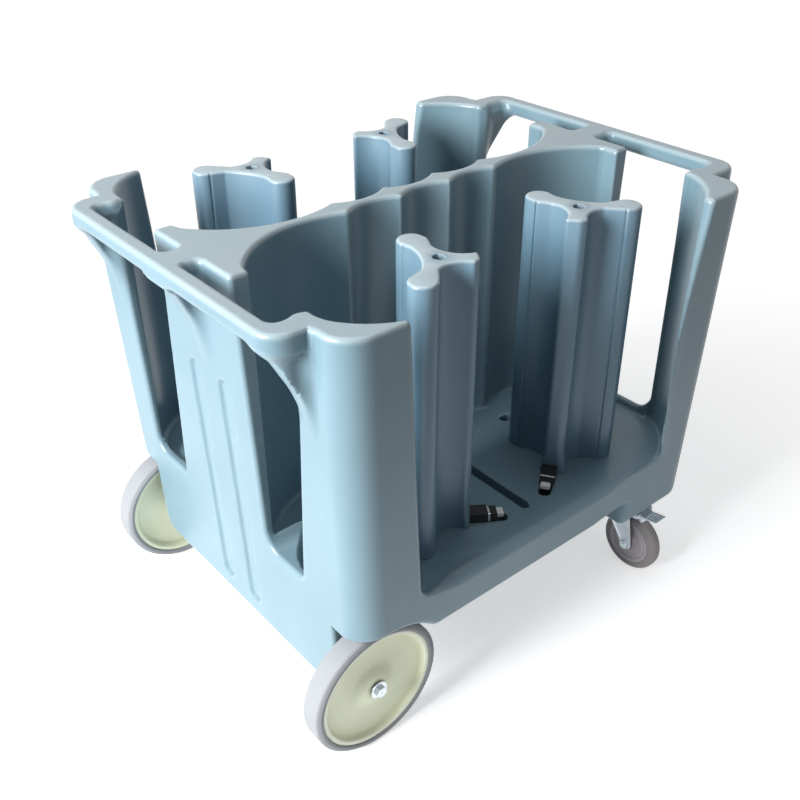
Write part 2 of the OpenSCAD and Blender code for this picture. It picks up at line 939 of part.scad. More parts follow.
module fork(side) {
    color([0.78, 0.82, 0.84])
        at_caster(side)
            difference() {
                union() {
                    translate([-fork_outside, -fork_top_length / 2, crown_bottom])
                        cube([2 * fork_outside, fork_top_length, fork_steel]);
                    for (x = [-fork_outside, fork_inside])
                        translate([x, 0, 0])
                            rotate([90, 0, 90])
                                linear_extrude(fork_steel)
                                    cheek_outline();
                    pedal_lugs();
                }
                translate([0, 0, 0])
                    cylinder(h = block_height, d = swivel_pin + 2 * running_gap);
                translate([-caster_width - overrun, trail, caster_height])
                    rotate([0, 90, 0])
                        cylinder(h = 2 * (caster_width + overrun), d = caster_axle);
                translate([-caster_width - overrun, pedal_pivot_reach, crown_bottom - pedal_pivot_drop])
                    rotate([0, 90, 0])
                        cylinder(h = 2 * (caster_width + overrun), r = pedal_pin_radius);
            }
}

// Ears on the fork that carry the brake pedal's pin
module pedal_lugs() {
    eye = [pedal_pivot_reach, crown_bottom - pedal_pivot_drop];
    for (x = [-fork_outside, fork_inside])
        translate([x, 0, 0])
            rotate([90, 0, 90])
                linear_extrude(fork_steel) {
                    translate(eye)
                        circle(r = pedal_eye_radius);
                    polygon([
                        [0, crown_top],
                        [pedal_pivot_reach, eye.y + pedal_eye_radius],
                        [pedal_pivot_reach, eye.y - pedal_eye_radius],
                        [0, eye.y - pedal_eye_radius]]);
                }
}

module caster_axle_piece(side) {
    reach = fork_outside + nut_height;
    color("silver")
        at_caster(side)
            translate([0, trail, caster_height])
                rotate([0, 90, 0]) {
                    translate([0, 0, -reach])
                        cylinder(h = 2 * reach, d = caster_axle);
                    translate([0, 0, fork_outside])
                        cylinder(h = nut_height - 1, d = nut_flats / cos(30), $fn = 6);
                }
}

module axle_nut(side) {
    color("silver")
        at_caster(side)
            translate([-fork_outside - nut_height + 1, trail, caster_height])
                rotate([0, 90, 0])
                    difference() {
                        cylinder(h = nut_height - 1, d = nut_flats / cos(30), $fn = 6);
                        translate([0, 0, -overrun])
                            cylinder(h = 2 * overrun, d = caster_axle);
                    }
}

// Places a child at a caster wheel's centre, with +Z along its axle
module at_caster_wheel(side) {
    at_caster(side)
        translate([0, trail, caster_height])
            rotate([0, 90, 0])
                children();
}

module caster_core(side) {
    half = caster_width / 2;
    bore = caster_axle / 2 + running_gap + caster_bush_wall;
    rim_in = caster_core_radius - rim_lip / 2;
    hub = bore + caster_bush_wall + 2;
    color([0.62, 0.58, 0.60])
        at_caster_wheel(side)
            rotate_extrude($fn = 72)
                polygon([
                    [bore, -half], [hub, -half], [hub + 4, -half / 2],
                    [rim_in - 4, -half / 2], [rim_in, -half + 2], [caster_core_radius, -half + 2],
                    [caster_core_radius, half - 2], [rim_in, half - 2], [rim_in - 4, half / 2],
                    [hub + 4, half / 2], [hub, half], [bore, half]]);
}

module caster_tyre(side) {
    half = caster_width / 2;
    crown = half * 0.75;
    color([0.50, 0.48, 0.49])
        at_caster_wheel(side)
            rotate_extrude($fn = 72)
                polygon(concat(
                    [[caster_core_radius, half - 2]],
                    arc([caster_radius - crown, half - crown], crown, 90, 0, 6),
                    arc([caster_radius - crown, -half + crown], crown, 0, -90, 6),
                    [[caster_core_radius, -half + 2]]));
}

module caster_bush(side) {
    inner = caster_axle / 2 + running_gap;
    color([0.3, 0.3, 0.3])
        at_caster_wheel(side)
            difference() {
                translate([0, 0, -caster_bush_length / 2])
                    cylinder(h = caster_bush_length, r = inner + caster_bush_wall);
                translate([0, 0, -caster_bush_length])
                    cylinder(h = 2 * caster_bush_length, r = inner);
            }
}

// Brake pedal: an eye on the pin, a tread outside and a lobe over the tyre
module brake_pedal(side) {
    eye = [pedal_pivot_reach, crown_bottom - pedal_pivot_drop];
    tip = [pedal_reach, pedal_rise];
    width = min(pedal_width, 2 * fork_inside - pedal_thickness);
    color([0.75, 0.78, 0.80])
        at_caster(side)
            difference() {
                translate([-width / 2, eye.x, eye.y])
                    rotate([90, 0, 90])
                        linear_extrude(width) {
                            circle(r = pedal_eye_radius);
                            polygon([
                                [0, -pedal_eye_radius / 2],
                                tip - [0, pedal_thickness / 2],
                                tip + [0, pedal_thickness / 2],
                                [0, pedal_eye_radius / 2]]);
                            rotate(lobe_angle)
                                translate([-lobe_width / 2, -lobe_length])
                                    square([lobe_width, lobe_length]);
                        }
                translate([-fork_outside - overrun, eye.x, eye.y])
                    rotate([0, 90, 0])
                        cylinder(h = 2 * (fork_outside + overrun), r = pedal_pin_radius + running_gap);
            }
}

module pedal_pin(side) {
    color("silver")
        at_caster(side)
            translate([-fork_outside - 1, pedal_pivot_reach, crown_bottom - pedal_pivot_drop])
                rotate([0, 90, 0])
                    cylinder(h = 2 * (fork_outside + 1), r = pedal_pin_radius);
}

// The assembly
body_shell();
axle();
for (k = [0, 1]) {
    side = 2 * k - 1;
    name = SIDES[k];
    wheel_disc(side);
    tyre(side);
    wheel_bush(side);
    collar(side);
    hub_bolt(side);
    hub_washer(side);
    caster_plate(side);
    plate_bolts(side);
    swivel_race(side);
    swivel_pin_piece(side);
    fork(side);
    caster_axle_piece(side);
    axle_nut(side);
    caster_core(side);
    caster_tyre(side);
    caster_bush(side);
    brake_pedal(side);
    pedal_pin(side);
}
for (k = [0:3]) {
    name = CORNERS[k];
    at_tower(k) tower();
    at_tower(k) rod();
    at_tower(k) shoe();
    at_tower(k) latch();
    at_tower(k) button();
}
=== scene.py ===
import math
import bpy
import bmesh
import numpy as np
from mathutils import Matrix, Vector


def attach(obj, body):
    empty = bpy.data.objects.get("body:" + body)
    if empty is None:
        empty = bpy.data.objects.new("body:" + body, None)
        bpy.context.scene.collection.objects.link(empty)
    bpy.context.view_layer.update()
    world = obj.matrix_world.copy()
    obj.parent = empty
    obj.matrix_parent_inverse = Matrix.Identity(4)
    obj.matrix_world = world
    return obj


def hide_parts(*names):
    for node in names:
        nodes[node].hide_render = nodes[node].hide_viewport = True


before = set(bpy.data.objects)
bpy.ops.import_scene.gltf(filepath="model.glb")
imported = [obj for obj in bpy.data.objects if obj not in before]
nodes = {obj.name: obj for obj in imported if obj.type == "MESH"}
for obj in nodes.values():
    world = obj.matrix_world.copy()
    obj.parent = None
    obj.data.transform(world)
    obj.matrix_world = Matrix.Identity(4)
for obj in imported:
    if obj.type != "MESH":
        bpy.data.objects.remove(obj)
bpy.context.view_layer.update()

mm = 0.001
print("frame loaded:", len(nodes), "nodes")


# Finishes

class Wire:
    def __init__(self, finish, socket):
        self.finish = finish
        self.socket = socket

    def maths(self, operation, first, second):
        return self.finish.node("ShaderNodeMath", {"operation": operation}, {0: first, 1: second})

    def __add__(self, other):
        return self.maths("ADD", self, other)

    def __mul__(self, other):
        return self.maths("MULTIPLY", self, other)

    def __sub__(self, other):
        return self.maths("SUBTRACT", self, other)

    def __rsub__(self, other):
        return self.maths("SUBTRACT", other, self)

    __radd__ = __add__
    __rmul__ = __mul__


class Finish:
    def __init__(self, tree, shader=None):
        self.tree = tree
        self.shader = shader

    # one node: its settings first, then the values or links of its sockets
    def node(self, kind, settings=None, sockets=None, output=0):
        made = self.tree.nodes.new(kind)
        for key, value in (settings or {}).items():
            setattr(made, key, value)
        for key, value in (sockets or {}).items():
            if isinstance(value, Wire):
                self.tree.links.new(value.socket, made.inputs[key])
            else:
                made.inputs[key].default_value = value
        return Wire(self, made.outputs[output])

    def feed(self, name, wire):
        self.tree.links.new(wire.socket, self.shader.inputs[name])

    def noise(self, scale, detail=3, stretch=(1, 1, 1)):
        place = self.node("ShaderNodeTexCoord", output="Object")
        spread = self.node("ShaderNodeMapping", {}, {"Vector": place, "Scale": stretch})
        return self.node("ShaderNodeTexNoise", {}, {"Vector": spread, "Scale": scale, "Detail": detail})

    def ramp(self, wire, low, high):
        return self.node("ShaderNodeMapRange", {}, {"Value": wire, "From Min": low, "From Max": high})

    def mix(self, amount, first, second):
        sockets = {0: amount, 6: first, 7: second}
        return self.node("ShaderNodeMix", {"data_type": "RGBA"}, sockets, output=2)

    def marked(self, name):
        return self.node("ShaderNodeAttribute", {"attribute_name": name}, output="Fac")

    def bump(self, height, strength, depth):
        sockets = {"Height": height, "Strength": strength, "Distance": depth}
        self.feed("Normal", self.node("ShaderNodeBump", {}, sockets))


def tint(red, green, blue):
    level = [c / 255 for c in (red, green, blue)]
    return tuple(c / 12.92 if c <= 0.04045 else ((c + 0.055) / 1.055) ** 2.4 for c in level) + (1.0,)


def newFinish(name, **fixed):
    material = bpy.data.materials.new(name)
    material.use_nodes = True
    shader = material.node_tree.nodes["Principled BSDF"]
    for key, value in fixed.items():
        shader.inputs[key.replace("_", " ")].default_value = value
    return material, Finish(material.node_tree, shader)


# satin moulded polyethylene: cloudy colour, fine pebbling, painted highlights on the rims, painted shade
# with dust in the creases, and paler tops
def mouldedPlastic(name, colour, pale, dull, rim):
    wornAndLitTop = tint(164, 174, 176)  # flat tops made paler: painted highlight from the light above, and greying by hands and dishes
    material, f = newFinish(name, IOR=1.5, Specular_IOR_Level=0.45)
    cloud = f.noise(4.0, 4)
    streak = f.noise(9.0, 3, (1, 1, 0.12))
    shade = f.ramp(cloud * 0.6 + streak * 0.4, 0.35, 0.65)
    base = f.mix(shade * 0.35, colour, dull)
    # painted highlight: rims lightened towards the pale colour
    base = f.mix(f.marked("rim") * rim, base, pale)
    # painted shade with dust: creases darkened towards the dull colour
    base = f.mix(f.marked("crease") * 0.4, base, dull)
    # painted highlight and wear on the flat tops
    base = f.mix(f.marked("top") * (0.4 + 0.2 * shade), base, wornAndLitTop)
    f.feed("Base Color", base)
    pebble = f.noise(420.0, 2)
    f.feed("Roughness", 0.30 + f.ramp(cloud, 0.3, 0.7) * 0.10 - f.marked("rim") * 0.10)
    f.bump(pebble + f.noise(60.0, 2) * 1.5, 0.16, 0.0006)
    return material


# rubber with a scuffed tread
def rubber(name, colour, scuff, treadRough):
    material, f = newFinish(name, IOR=1.45, Specular_IOR_Level=0.3)
    grain = f.noise(240.0, 4)
    patch = f.ramp(f.noise(28.0, 4), 0.42, 0.62)
    base = f.mix(patch * 0.25, colour, tuple(c * 0.8 for c in colour[:3]) + (1.0,))
    f.feed("Base Color", f.mix(f.marked("tread") * (0.75 + 0.25 * patch), base, scuff))
    f.feed("Roughness", 0.52 + patch * 0.12 + f.marked("tread") * treadRough)
    f.bump(grain, 0.25, 0.0005)
    return material


# bright zinc plate with soft spangle and finger-dulled patches
def zincPlate(name, colour, dull, rough):
    material, f = newFinish(name, Metallic=1.0)
    spangle = f.noise(170.0, 2)
    patch = f.ramp(f.noise(35.0, 4), 0.38, 0.66)
    f.feed("Base Color", f.mix(patch * 0.45 + spangle * 0.15, colour, dull))
    f.feed("Roughness", rough + patch * 0.14 + spangle * 0.06)
    f.bump(spangle, 0.08, 0.0003)
    return material


# small moulded parts: fine texture and slight cloudiness
def smallPlastic(name, colour, dull, rough, grain=500.0):
    material, f = newFinish(name, IOR=1.5, Specular_IOR_Level=0.4)
    patch = f.ramp(f.noise(22.0, 4), 0.35, 0.65)
    f.feed("Base Color", f.mix(patch * 0.4, colour, dull))
    f.feed("Roughness", rough + patch * 0.1)
    f.bump(f.noise(grain, 3), 0.2, 0.0003)
    return material


# cast plastic of the wheel centres, with dust held in the dish, painted shade in its crease and painted
# highlights on its rims
def wheelPlastic(name, colour, pale, dustAndShade):
    material, f = newFinish(name, IOR=1.5, Specular_IOR_Level=0.45)
    patch = f.ramp(f.noise(14.0, 5), 0.35, 0.65)
    base = f.mix(patch * 0.3, colour, dustAndShade)
    # painted shade with dust: the crease darkened towards the dust colour
    base = f.mix(f.marked("crease") * 0.5, base, dustAndShade)
    # painted highlight: rims lightened towards the pale colour
    f.feed("Base Color", f.mix(f.marked("rim") * 0.7, base, pale))
    f.feed("Roughness", 0.36 + patch * 0.12)
    f.bump(f.noise(300.0, 3), 0.12, 0.0004)
    return material


# in the plastics, the pale colour is a painted highlight, and the dull or dust colour gives cloudy tone
# and painted shade with dust
finishes = {
    "body": mouldedPlastic("slateBlueShell", tint(112, 139, 151), tint(156, 178, 186),
                           tint(92, 114, 126), 0.2),
    "tower": mouldedPlastic("slateBlueTower", tint(98, 128, 146), tint(168, 186, 192),
                            tint(80, 106, 122), 0.7),
    "disc": wheelPlastic("creamWheelDisc", tint(238, 242, 216), tint(248, 250, 234), tint(210, 214, 172)),
    "tyre": rubber("greyWheelTyre", tint(144, 146, 150), tint(140, 143, 147), 0.12),
    "core": wheelPlastic("mauveCasterCore", tint(186, 178, 181), tint(204, 197, 200),
                         tint(150, 142, 146)),
    "casterTyre": rubber("taupeCasterTyre", tint(148, 143, 145), tint(160, 154, 152), 0.08),
    "zinc": zincPlate("zincPlate", tint(206, 214, 220), tint(172, 180, 188), 0.24),
    "bush": smallPlastic("darkNylonBush", tint(52, 53, 55), tint(36, 37, 38), 0.42),
    "latch": smallPlastic("blackLatchHousing", tint(24, 25, 27), tint(14, 14, 16), 0.34),
    "band": zincPlate("brightLatchBand", tint(226, 228, 230), tint(190, 192, 194), 0.18),
    "button": smallPlastic("whiteLatchButton", tint(236, 234, 232), tint(214, 212, 208), 0.35),
}


# Pieces

def addPiece(name, points, faces, finish, body, slot, replaced=(), marks=None, normals=None, angle=40.0):
    mesh = bpy.data.meshes.new(name)
    mesh.from_pydata(np.asarray(points, float) * mm, [], faces)
    if normals is None:
        form = bmesh.new()
        form.from_mesh(mesh)
        bmesh.ops.recalc_face_normals(form, faces=form.faces)
        form.to_mesh(mesh)
        form.free()
    for key, values in (marks or {}).items():
        mark = mesh.attributes.new(key, "FLOAT", "POINT")
        mark.data.foreach_set("value", np.asarray(values, np.float32))
    mesh.shade_smooth()
    if normals is None:
        mesh.set_sharp_from_angle(angle=math.radians(angle))
    else:
        mesh.normals_split_custom_set_from_vertices(normals)
    mesh.materials.append(finishes[finish])
    piece = bpy.data.objects.new(name, mesh)
    bpy.context.scene.collection.objects.link(piece)
    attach(piece, body)
    if replaced:
        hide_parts(*replaced)
    return piece


# a closed outline with each corner eased to its radius
def eased(outline, radii, steps=4):
    outline = [np.array(p, float) for p in outline]
    radii = radii if isinstance(radii, (list, tuple)) else [radii] * len(outline)
    path = []
    for k, here in enumerate(outline):
        before, after = outline[k - 1] - here, outline[(k + 1) % len(outline)] - here
        reach = min(radii[k], 0.45 * np.linalg.norm(before), 0.45 * np.linalg.norm(after))
        if reach < 0.05:
            path.append(here)
            continue
        start = here + before / np.linalg.norm(before) * reach
        end = here + after / np.linalg.norm(after) * reach
        for t in np.linspace(0, 1, steps + 1):
            path.append((1 - t) ** 2 * start + 2 * t * (1 - t) * here + t * t * end)
    return np.array(path)


# a closed profile of (radius, height) turned round an axis
def turned(profile, centre, axis, segments=96):
    profile = np.asarray(profile, float)
    axis = np.array(axis, float)
    side = np.roll(axis, 1)
    up = np.cross(axis, side)
    turn = np.arange(segments) * 2 * math.pi / segments
    ring = np.cos(turn)[:, None] * side + np.sin(turn)[:, None] * up
    points = (np.array(centre, float) + ring[:, None, :] * profile[None, :, :1]
              + profile[None, :, 1:] * axis).reshape(-1, 3)
    count = len(profile)
    faces = []
    for i in range(segments):
        for j in range(count):
            a, b = i * count, (i + 1) % segments * count
            faces.append((a + j, b + j, b + (j + 1) % count, a + (j + 1) % count))
    return points, faces


# the profile of a plain round bar
def barProfile(radius, low, high):
    return [(0.5, low), (radius, low), (radius, high), (0.5, high)]


# a flat outline given thickness, in a frame of origin, across, up and out
def slabOf(outline, low, high, origin, across, up, out):
    outline = np.asarray(outline, float)
    origin, across, up, out = (np.array(v, float) for v in (origin, across, up, out))
    flat = origin + outline[:, :1] * across + outline[:, 1:] * up
    points = np.concatenate([flat + out * low, flat + out * high])
    n = len(outline)
    faces = [tuple(range(n))[::-1], tuple(range(n, 2 * n))]
    faces += [(k, (k + 1) % n, n + (k + 1) % n, n + k) for k in range(n)]
    return points, faces


# several (points, faces) shapes as one
def together(*parts):
    points, faces, start = [], [], 0
    for some, its in parts:
        points.append(np.asarray(some, float))
        faces += [tuple(start + k for k in face) for face in its]
        start += len(some)
    return np.concatenate(points), faces


def soften(piece, width, segments=2):
    bevel = piece.modifiers.new("softEdges", "BEVEL")
    bevel.width = width * mm
    bevel.segments = segments
    bevel.limit_method = "ANGLE"
    bevel.angle_limit = math.radians(35)
    bevel.harden_normals = True
    return piece


# Solid fields: negative inside, in millimetres

# what both hold, what either holds, and the first less the second, with the corner rounded to r
def meet(a, b, r=0.0):
    return np.minimum(np.maximum(a, b), -r) + np.hypot(np.maximum(a + r, 0), np.maximum(b + r, 0))


def join(a, b, r=0.0):
    return -meet(-a, -b, r)


def cut(a, b, r=0.0):
    return meet(a, -b, r)


# how far a value has gone from a start over a run, held between 0 and 1
def share(value, start, run):
    return np.clip((value - start) / run, 0, 1)


def slope(field, points, reach=0.5):
    parts = []
    for k in range(3):
        step = np.zeros(3)
        step[k] = reach
        parts.append(field(*(points + step).T) - field(*(points - step).T))
    return np.stack(parts, 1) / (2 * reach)


# bring points onto the field's zero level
def settle(field, points, rounds=3, limit=2.5):
    for _ in range(rounds):
        steep = slope(field, points)
        move = steep * (field(*points.T) / np.maximum((steep ** 2).sum(1), 0.05))[:, None]
        length = np.linalg.norm(move, axis=1, keepdims=True)
        points = points - move * np.minimum(1, limit / np.maximum(length, 1e-6))
    return points


# a quad skin over a field's zero level
def skinOf(field, low, high, step):
    axes = [np.arange(a, b + step, step) for a, b in zip(low, high)]
    grid = np.meshgrid(*axes, indexing="ij", sparse=True)
    value = field(*grid).astype(np.float32)
    inside = value < 0
    shape = tuple(n - 1 for n in value.shape)
    offsets = [(i, j, k) for i in (0, 1) for j in (0, 1) for k in (0, 1)]

    def corner(array, o):
        return array[o[0]:o[0] + shape[0], o[1]:o[1] + shape[1], o[2]:o[2] + shape[2]]

    count = sum(corner(inside, o).astype(np.int8) for o in offsets)
    cells = np.nonzero((count > 0) & (count < 8))
    index = np.full(shape, -1, np.int32)
    index[cells] = np.arange(len(cells[0]))
    level = [corner(value, o)[cells] for o in offsets]
    total = np.zeros((len(cells[0]), 3))
    hits = np.zeros(len(cells[0]))
    for a, first in enumerate(offsets):
        for b in range(a + 1, 8):
            way = np.subtract(offsets[b], first)
            if np.abs(way).sum() != 1:
                continue
            crossed = (level[a] < 0) != (level[b] < 0)
            share = np.where(crossed, level[a] / np.where(crossed, level[a] - level[b], 1), 0)
            total += crossed[:, None] * (np.array(first) + share[:, None] * way)
            hits += crossed
    points = np.array([a[0] for a in axes]) + step * (np.stack(cells, 1) + total / hits[:, None])
    quads = []
    for k in range(3):
        i, j = (k + 1) % 3, (k + 2) % 3
        rest = [slice(None)] * 3
        rest[i], rest[j] = slice(1, -1), slice(1, -1)
        lower, upper = list(rest), list(rest)
        lower[k], upper[k] = slice(0, -1), slice(1, None)
        for flip in (False, True):
            a, b = inside[tuple(lower)], inside[tuple(upper)]
            spot = np.array(np.nonzero((a & ~b) if not flip else (~a & b)))
            spot[i] += 1
            spot[j] += 1
            around = []
            for di, dj in ((-1, -1), (0, -1), (0, 0), (-1, 0)):
                at = spot.copy()
                at[i] += di
                at[j] += dj
                around.append(index[tuple(at)])
            quads.append(np.stack(around[::-1] if flip else around, 1))
    return points, np.concatenate(quads)


# a skin thinned to a face count, then refined where the form bends
def fieldPiece(name, field, low, high, step, faceCount, *facts, **more):
    points, quads = skinOf(field, low, high, step)
    points = settle(field, points)
    rough = bpy.data.meshes.new(name + "Rough")
    rough.from_pydata(points, [], quads)
    form = bpy.data.objects.new(name + "Rough", rough)
    bpy.context.scene.collection.objects.link(form)
    thin = form.modifiers.new("thin", "DECIMATE")
    thin.ratio = min(1.0, faceCount / (2 * len(quads)))
    graph = bpy.context.evaluated_depsgraph_get()
    fine = bpy.data.meshes.new_from_object(form.evaluated_get(graph))
    for _ in range(4):  # each round halves the edges that still bend
        points = refine(field, fine)
    fine.calc_loop_triangles()
    faces = np.zeros(len(fine.loop_triangles) * 3, np.int32)
    fine.loop_triangles.foreach_get("vertices", faces)
    bpy.data.objects.remove(form)
    bpy.data.meshes.remove(rough)
    bpy.data.meshes.remove(fine)
    faces = faces.reshape(-1, 3)
    normals = pointNormals(field, points, faces)
    marks = rimMarks(field, points)
    # the top few millimetres, marked for the painted highlight and wear on the tops
    marks["top"] = share(points[:, 2], points[:, 2].max() - 9, 7)
    print(name, "skin:", len(points), "points,", len(faces), "faces")
    return addPiece(name, points, faces, *facts, marks=marks, normals=normals, **more)


# split the edges that are long for the bend that they cross, then settle every point
def refine(field, mesh, short=9, long=90, turn=10):
    points = np.zeros(len(mesh.vertices) * 3)
    mesh.vertices.foreach_get("co", points)
    points = settle(field, points.reshape(-1, 3), 2, 1.0)
    mesh.vertices.foreach_set("co", points.ravel())
    ends = np.zeros(len(mesh.edges) * 2, np.int32)
    mesh.edges.foreach_get("vertices", ends)
    a, b = ends.reshape(-1, 2).T
    steep = slope(field, points)
    steep /= np.maximum(np.linalg.norm(steep, axis=1, keepdims=True), 1e-9)
    marks = rimMarks(field, points)
    length = np.linalg.norm(points[a] - points[b], axis=1)
    bends = (steep[a] * steep[b]).sum(1) < math.cos(math.radians(turn))
    for mark in marks.values():
        bends |= np.abs(mark[a] - mark[b]) > 0.25
    chosen = np.nonzero((length > short) & bends | (length > long))[0]
    form = bmesh.new()
    form.from_mesh(mesh)
    form.edges.ensure_lookup_table()
    bmesh.ops.subdivide_edges(form, edges=[form.edges[k] for k in chosen], cuts=1)
    bmesh.ops.triangulate(form, faces=form.faces)
    form.to_mesh(mesh)
    form.free()
    points = np.zeros(len(mesh.vertices) * 3)
    mesh.vertices.foreach_get("co", points)
    return settle(field, points.reshape(-1, 3), 2, 1.0)


# the field's own slope, except where a point's largest face turns away from it,
# so that flats stay flat up to a rim
def pointNormals(field, points, faces, limit=25):
    a, b, c = (points[faces[:, k]] for k in range(3))
    across = np.cross(b - a, c - a)
    size = np.linalg.norm(across, axis=1)
    order = np.argsort(np.repeat(size, 3), kind="stable")
    largest = np.zeros(len(points), int)
    largest[faces.ravel()[order]] = order // 3
    flat = across[largest] / np.maximum(size[largest], 1e-9)[:, None]
    steep = slope(field, points)
    steep /= np.maximum(np.linalg.norm(steep, axis=1, keepdims=True), 1e-9)
    agree = (flat * steep).sum(1) > math.cos(math.radians(limit))
    return np.where(agree[:, None], steep, flat)


# rims are where a surface bends outwards, creases where it bends inwards; the finishes paint highlights
# on rims and shade with dust in creases
def rimMarks(field, points, reach=4.0):
    bend = -6 * field(*points.T)
    for k in range(3):
        step = np.zeros(3)
        step[k] = reach
        bend = bend + field(*(points + step).T) + field(*(points - step).T)
    bend = bend / reach ** 2
    return {"rim": np.clip(bend * 9 - 0.25, 0, 1), "crease": np.clip(-bend * 9 - 0.2, 0, 1)}


# Moulded body

body = {
    "top": 810, "foot": 95, "deck": 298, "base": 223,  # heights
    "end": (440, 424), "endDraft": 25,  # wheel end and caster end at the top, and how far they lean in
    "side": 375, "sideDraft": 10, "corner": 52,
    "rim": 8, "innerRim": 6, "fillet": 10,
    "web": (35, 28, 320),  # end wall between the slots and beside them, and its half width
    "bay": (242, 203, 194),  # round bays: centre and radius
    "smallBay": (102, 93, 110), "dividerHalf": 27,  # scallops of the divider: offset, radius, pitch
    "spread": 112,  # where the divider's plan gives way to the posts'
    "wheelPost": (285, 232, 139), "casterPost": (250, 218, 153),  # hollow of a post: centre and radius
    "postFoot": (242, 323), "postDraft": 12, "draftHeight": 500,
    "sill": 22, "sillTop": 360, "sillFade": 40, "sillFrom": 290, "sillEnds": (-285, 200), "sillRun": 60,
    "bounds": ((-508.3, -383.3, 88.3), (508, 383, 817)), "step": 4.0, "faceCount": 180000,
}


def bayPlan(ax, ay):
    b = body
    x, y, r = b["bay"]
    bays = np.hypot(ax - x, ay - y) - r
    offset, small, pitch = b["smallBay"]
    scallops = join(np.hypot(ax, ay - offset) - small, np.hypot(ax - pitch, ay - offset) - small, 3)
    bays = join(join(bays, scallops, 6), np.maximum(ax - 1.5 * pitch, b["dividerHalf"] - ay), 3)
    return meet(ay - b["spread"], -bays, b["innerRim"])


def postPlan(x, z, ax, ay):
    b = body
    px, py, pr = (np.where(x < 0, v, w) for v, w in zip(b["wheelPost"], b["casterPost"]))
    footX, footY = b["postFoot"]
    pr = pr - np.where(x < 0, b["postDraft"], 0) * share(-z, -b["top"], b["draftHeight"])
    hollow = join(np.hypot(ax - px, ay - py) - pr, np.maximum(ax - footX, ay - footY), 5)
    return meet(b["spread"] - ay, -hollow, b["innerRim"])


# slots through both ends, and the wide opening of each long side
opening = {
    "slot": (112, 260), "slotSill": 310, "slotCorners": (14, 36),
    "slotLean": 44, "leanTop": 700, "leanFall": 378,
    "side": (-328, 318), "sideLean": (30, 68), "sideCorners": (30, 75), "sideFrom": 203,
    "dipFrom": -262, "dipRun": 50,
}


def openings(x, y, z, ax, ay):
    b, o = body, opening
    low, high = o["slot"]
    sharp, wide = o["slotCorners"]
    lean = o["slotLean"] * share(-z, -o["leanTop"], o["leanFall"])
    across = np.where(x < 0, y, -y)
    slots = [meet(meet(start + lean - across, o["slotSill"] - z, sharp), across - end, wide)
             for start, end in ((-high, -low), (low, high))]
    ends = np.maximum(np.minimum(*slots), b["bay"][0] - ax)
    drop = (b["top"] - z) / b["draftHeight"]
    sill = b["deck"] - b["fillet"] * share(x, o["dipFrom"], o["dipRun"]) - z
    (left, right), (leftLean, rightLean) = o["side"], o["sideLean"]
    side = meet(left + leftLean * drop - x, sill, o["sideCorners"][0])
    side = meet(side, x - right + rightLean * drop, o["sideCorners"][1])
    return np.minimum(ends, np.maximum(side, o["sideFrom"] - ay))


# blind slots that the towers slide in, one across mid-length, and drains that go through
grooves = {
    "towerX": 154, "nearY": 230, "farY": 278, "way": 34, "reach": (-38, 120), "half": 11, "floor": 268,
    "middle": (150, 300, 9), "drain": (169, 181, 78, 9),
}


def deckGrooves(ax, ay, y, z):
    g = grooves
    lx = g["towerX"] - ax
    ly = np.where(y < 0, y + g["nearY"], g["farY"] - y)
    way = math.radians(g["way"])
    u = lx * math.cos(way) - ly * math.sin(way)
    v = lx * math.sin(way) + ly * math.cos(way)
    long = np.hypot(u - np.clip(u, *g["reach"]), v) - g["half"]
    start, stop, half = g["middle"]
    middle = np.hypot(ax, ay - np.clip(ay, start, stop)) - half
    start, stop, offset, half = g["drain"]
    drain = np.hypot(ax - np.clip(ax, start, stop), ay - offset) - half
    return np.minimum(np.maximum(np.minimum(long, middle), g["floor"] - z), drain)


# handles: a bar on two legs and a strap in the middle
grip = {
    "reach": 500, "half": 303, "corner": 40, "bar": 30, "leg": 41, "low": 779, "round": 13,
    "hole": 14, "strap": 27, "strapBack": 4, "strapJoin": 12, "root": 14,
}


def handleOutline(ax, ay):
    return meet(ax - grip["reach"], ay - grip["half"], grip["corner"])


def handlePlan(ax, ay, end):
    g = grip
    hole = meet(ax - g["reach"] + g["bar"], ay - g["half"] + g["leg"], g["hole"])
    ring = cut(handleOutline(ax, ay), hole, 4)
    strap = np.maximum(ay - g["strap"], ax - g["reach"] + g["strapBack"])
    return meet(join(ring, strap, g["strapJoin"]), end - g["root"] - ax, 2)


# a tapering gusset under each strap and each leg of a handle
fin = {"foot": 670, "top": 790, "out": 282, "footHalf": 8, "headHalf": 25, "back": 9, "start": 4,
       "root": 12}


def finField(z, ax, ay, end):
    f, g = fin, grip
    run, fall = g["reach"] - f["back"] - end + f["start"], g["low"] - f["foot"]
    half = f["footHalf"] + (f["headHalf"] - f["footHalf"]) * share(z, f["foot"], fall)
    side = np.minimum(ay, np.abs(ay - f["out"])) - half
    line = ((ax - g["reach"] + f["back"]) * fall - (z - g["low"]) * run) / np.hypot(run, fall)
    clear = np.maximum(handleOutline(ax, ay) + f["back"], end - f["root"] - ax)
    return meet(meet(side, line, 6), np.maximum(z - f["top"], clear), 2)


underside = {
    "axleBox": (-300, 103, -275),  # its back: x and height at the foot, x at the base
    "block": (212, 171, 213),  # caster blocks: start, height of the foot, inner side
    "well": (-370, 125, 140, 290), "wellCorner": 40,  # wheel wells: centre, radius, inner side
    "runOut": (120, 60, 10),  # the lower edge grows rounder towards the casters
}
flutes = {"offset": 44, "foot": 150, "top": 590, "radius": 14, "depth": 5, "edge": 4, "blend": 7}


def belowField(x, z, ay):
    u, base = underside, body["base"]
    boxX, boxZ, boxTop = u["axleBox"]
    run, fall = base - boxZ, boxTop - boxX
    box = ((x - boxX) * run - (z - boxZ) * fall) / math.hypot(run, fall)
    blockX, blockZ, blockY = u["block"]
    block = meet(meet(blockX - x, blockZ - z, 8), blockY - ay, 10)
    return join(join(base - z, box, 8), block, 6)


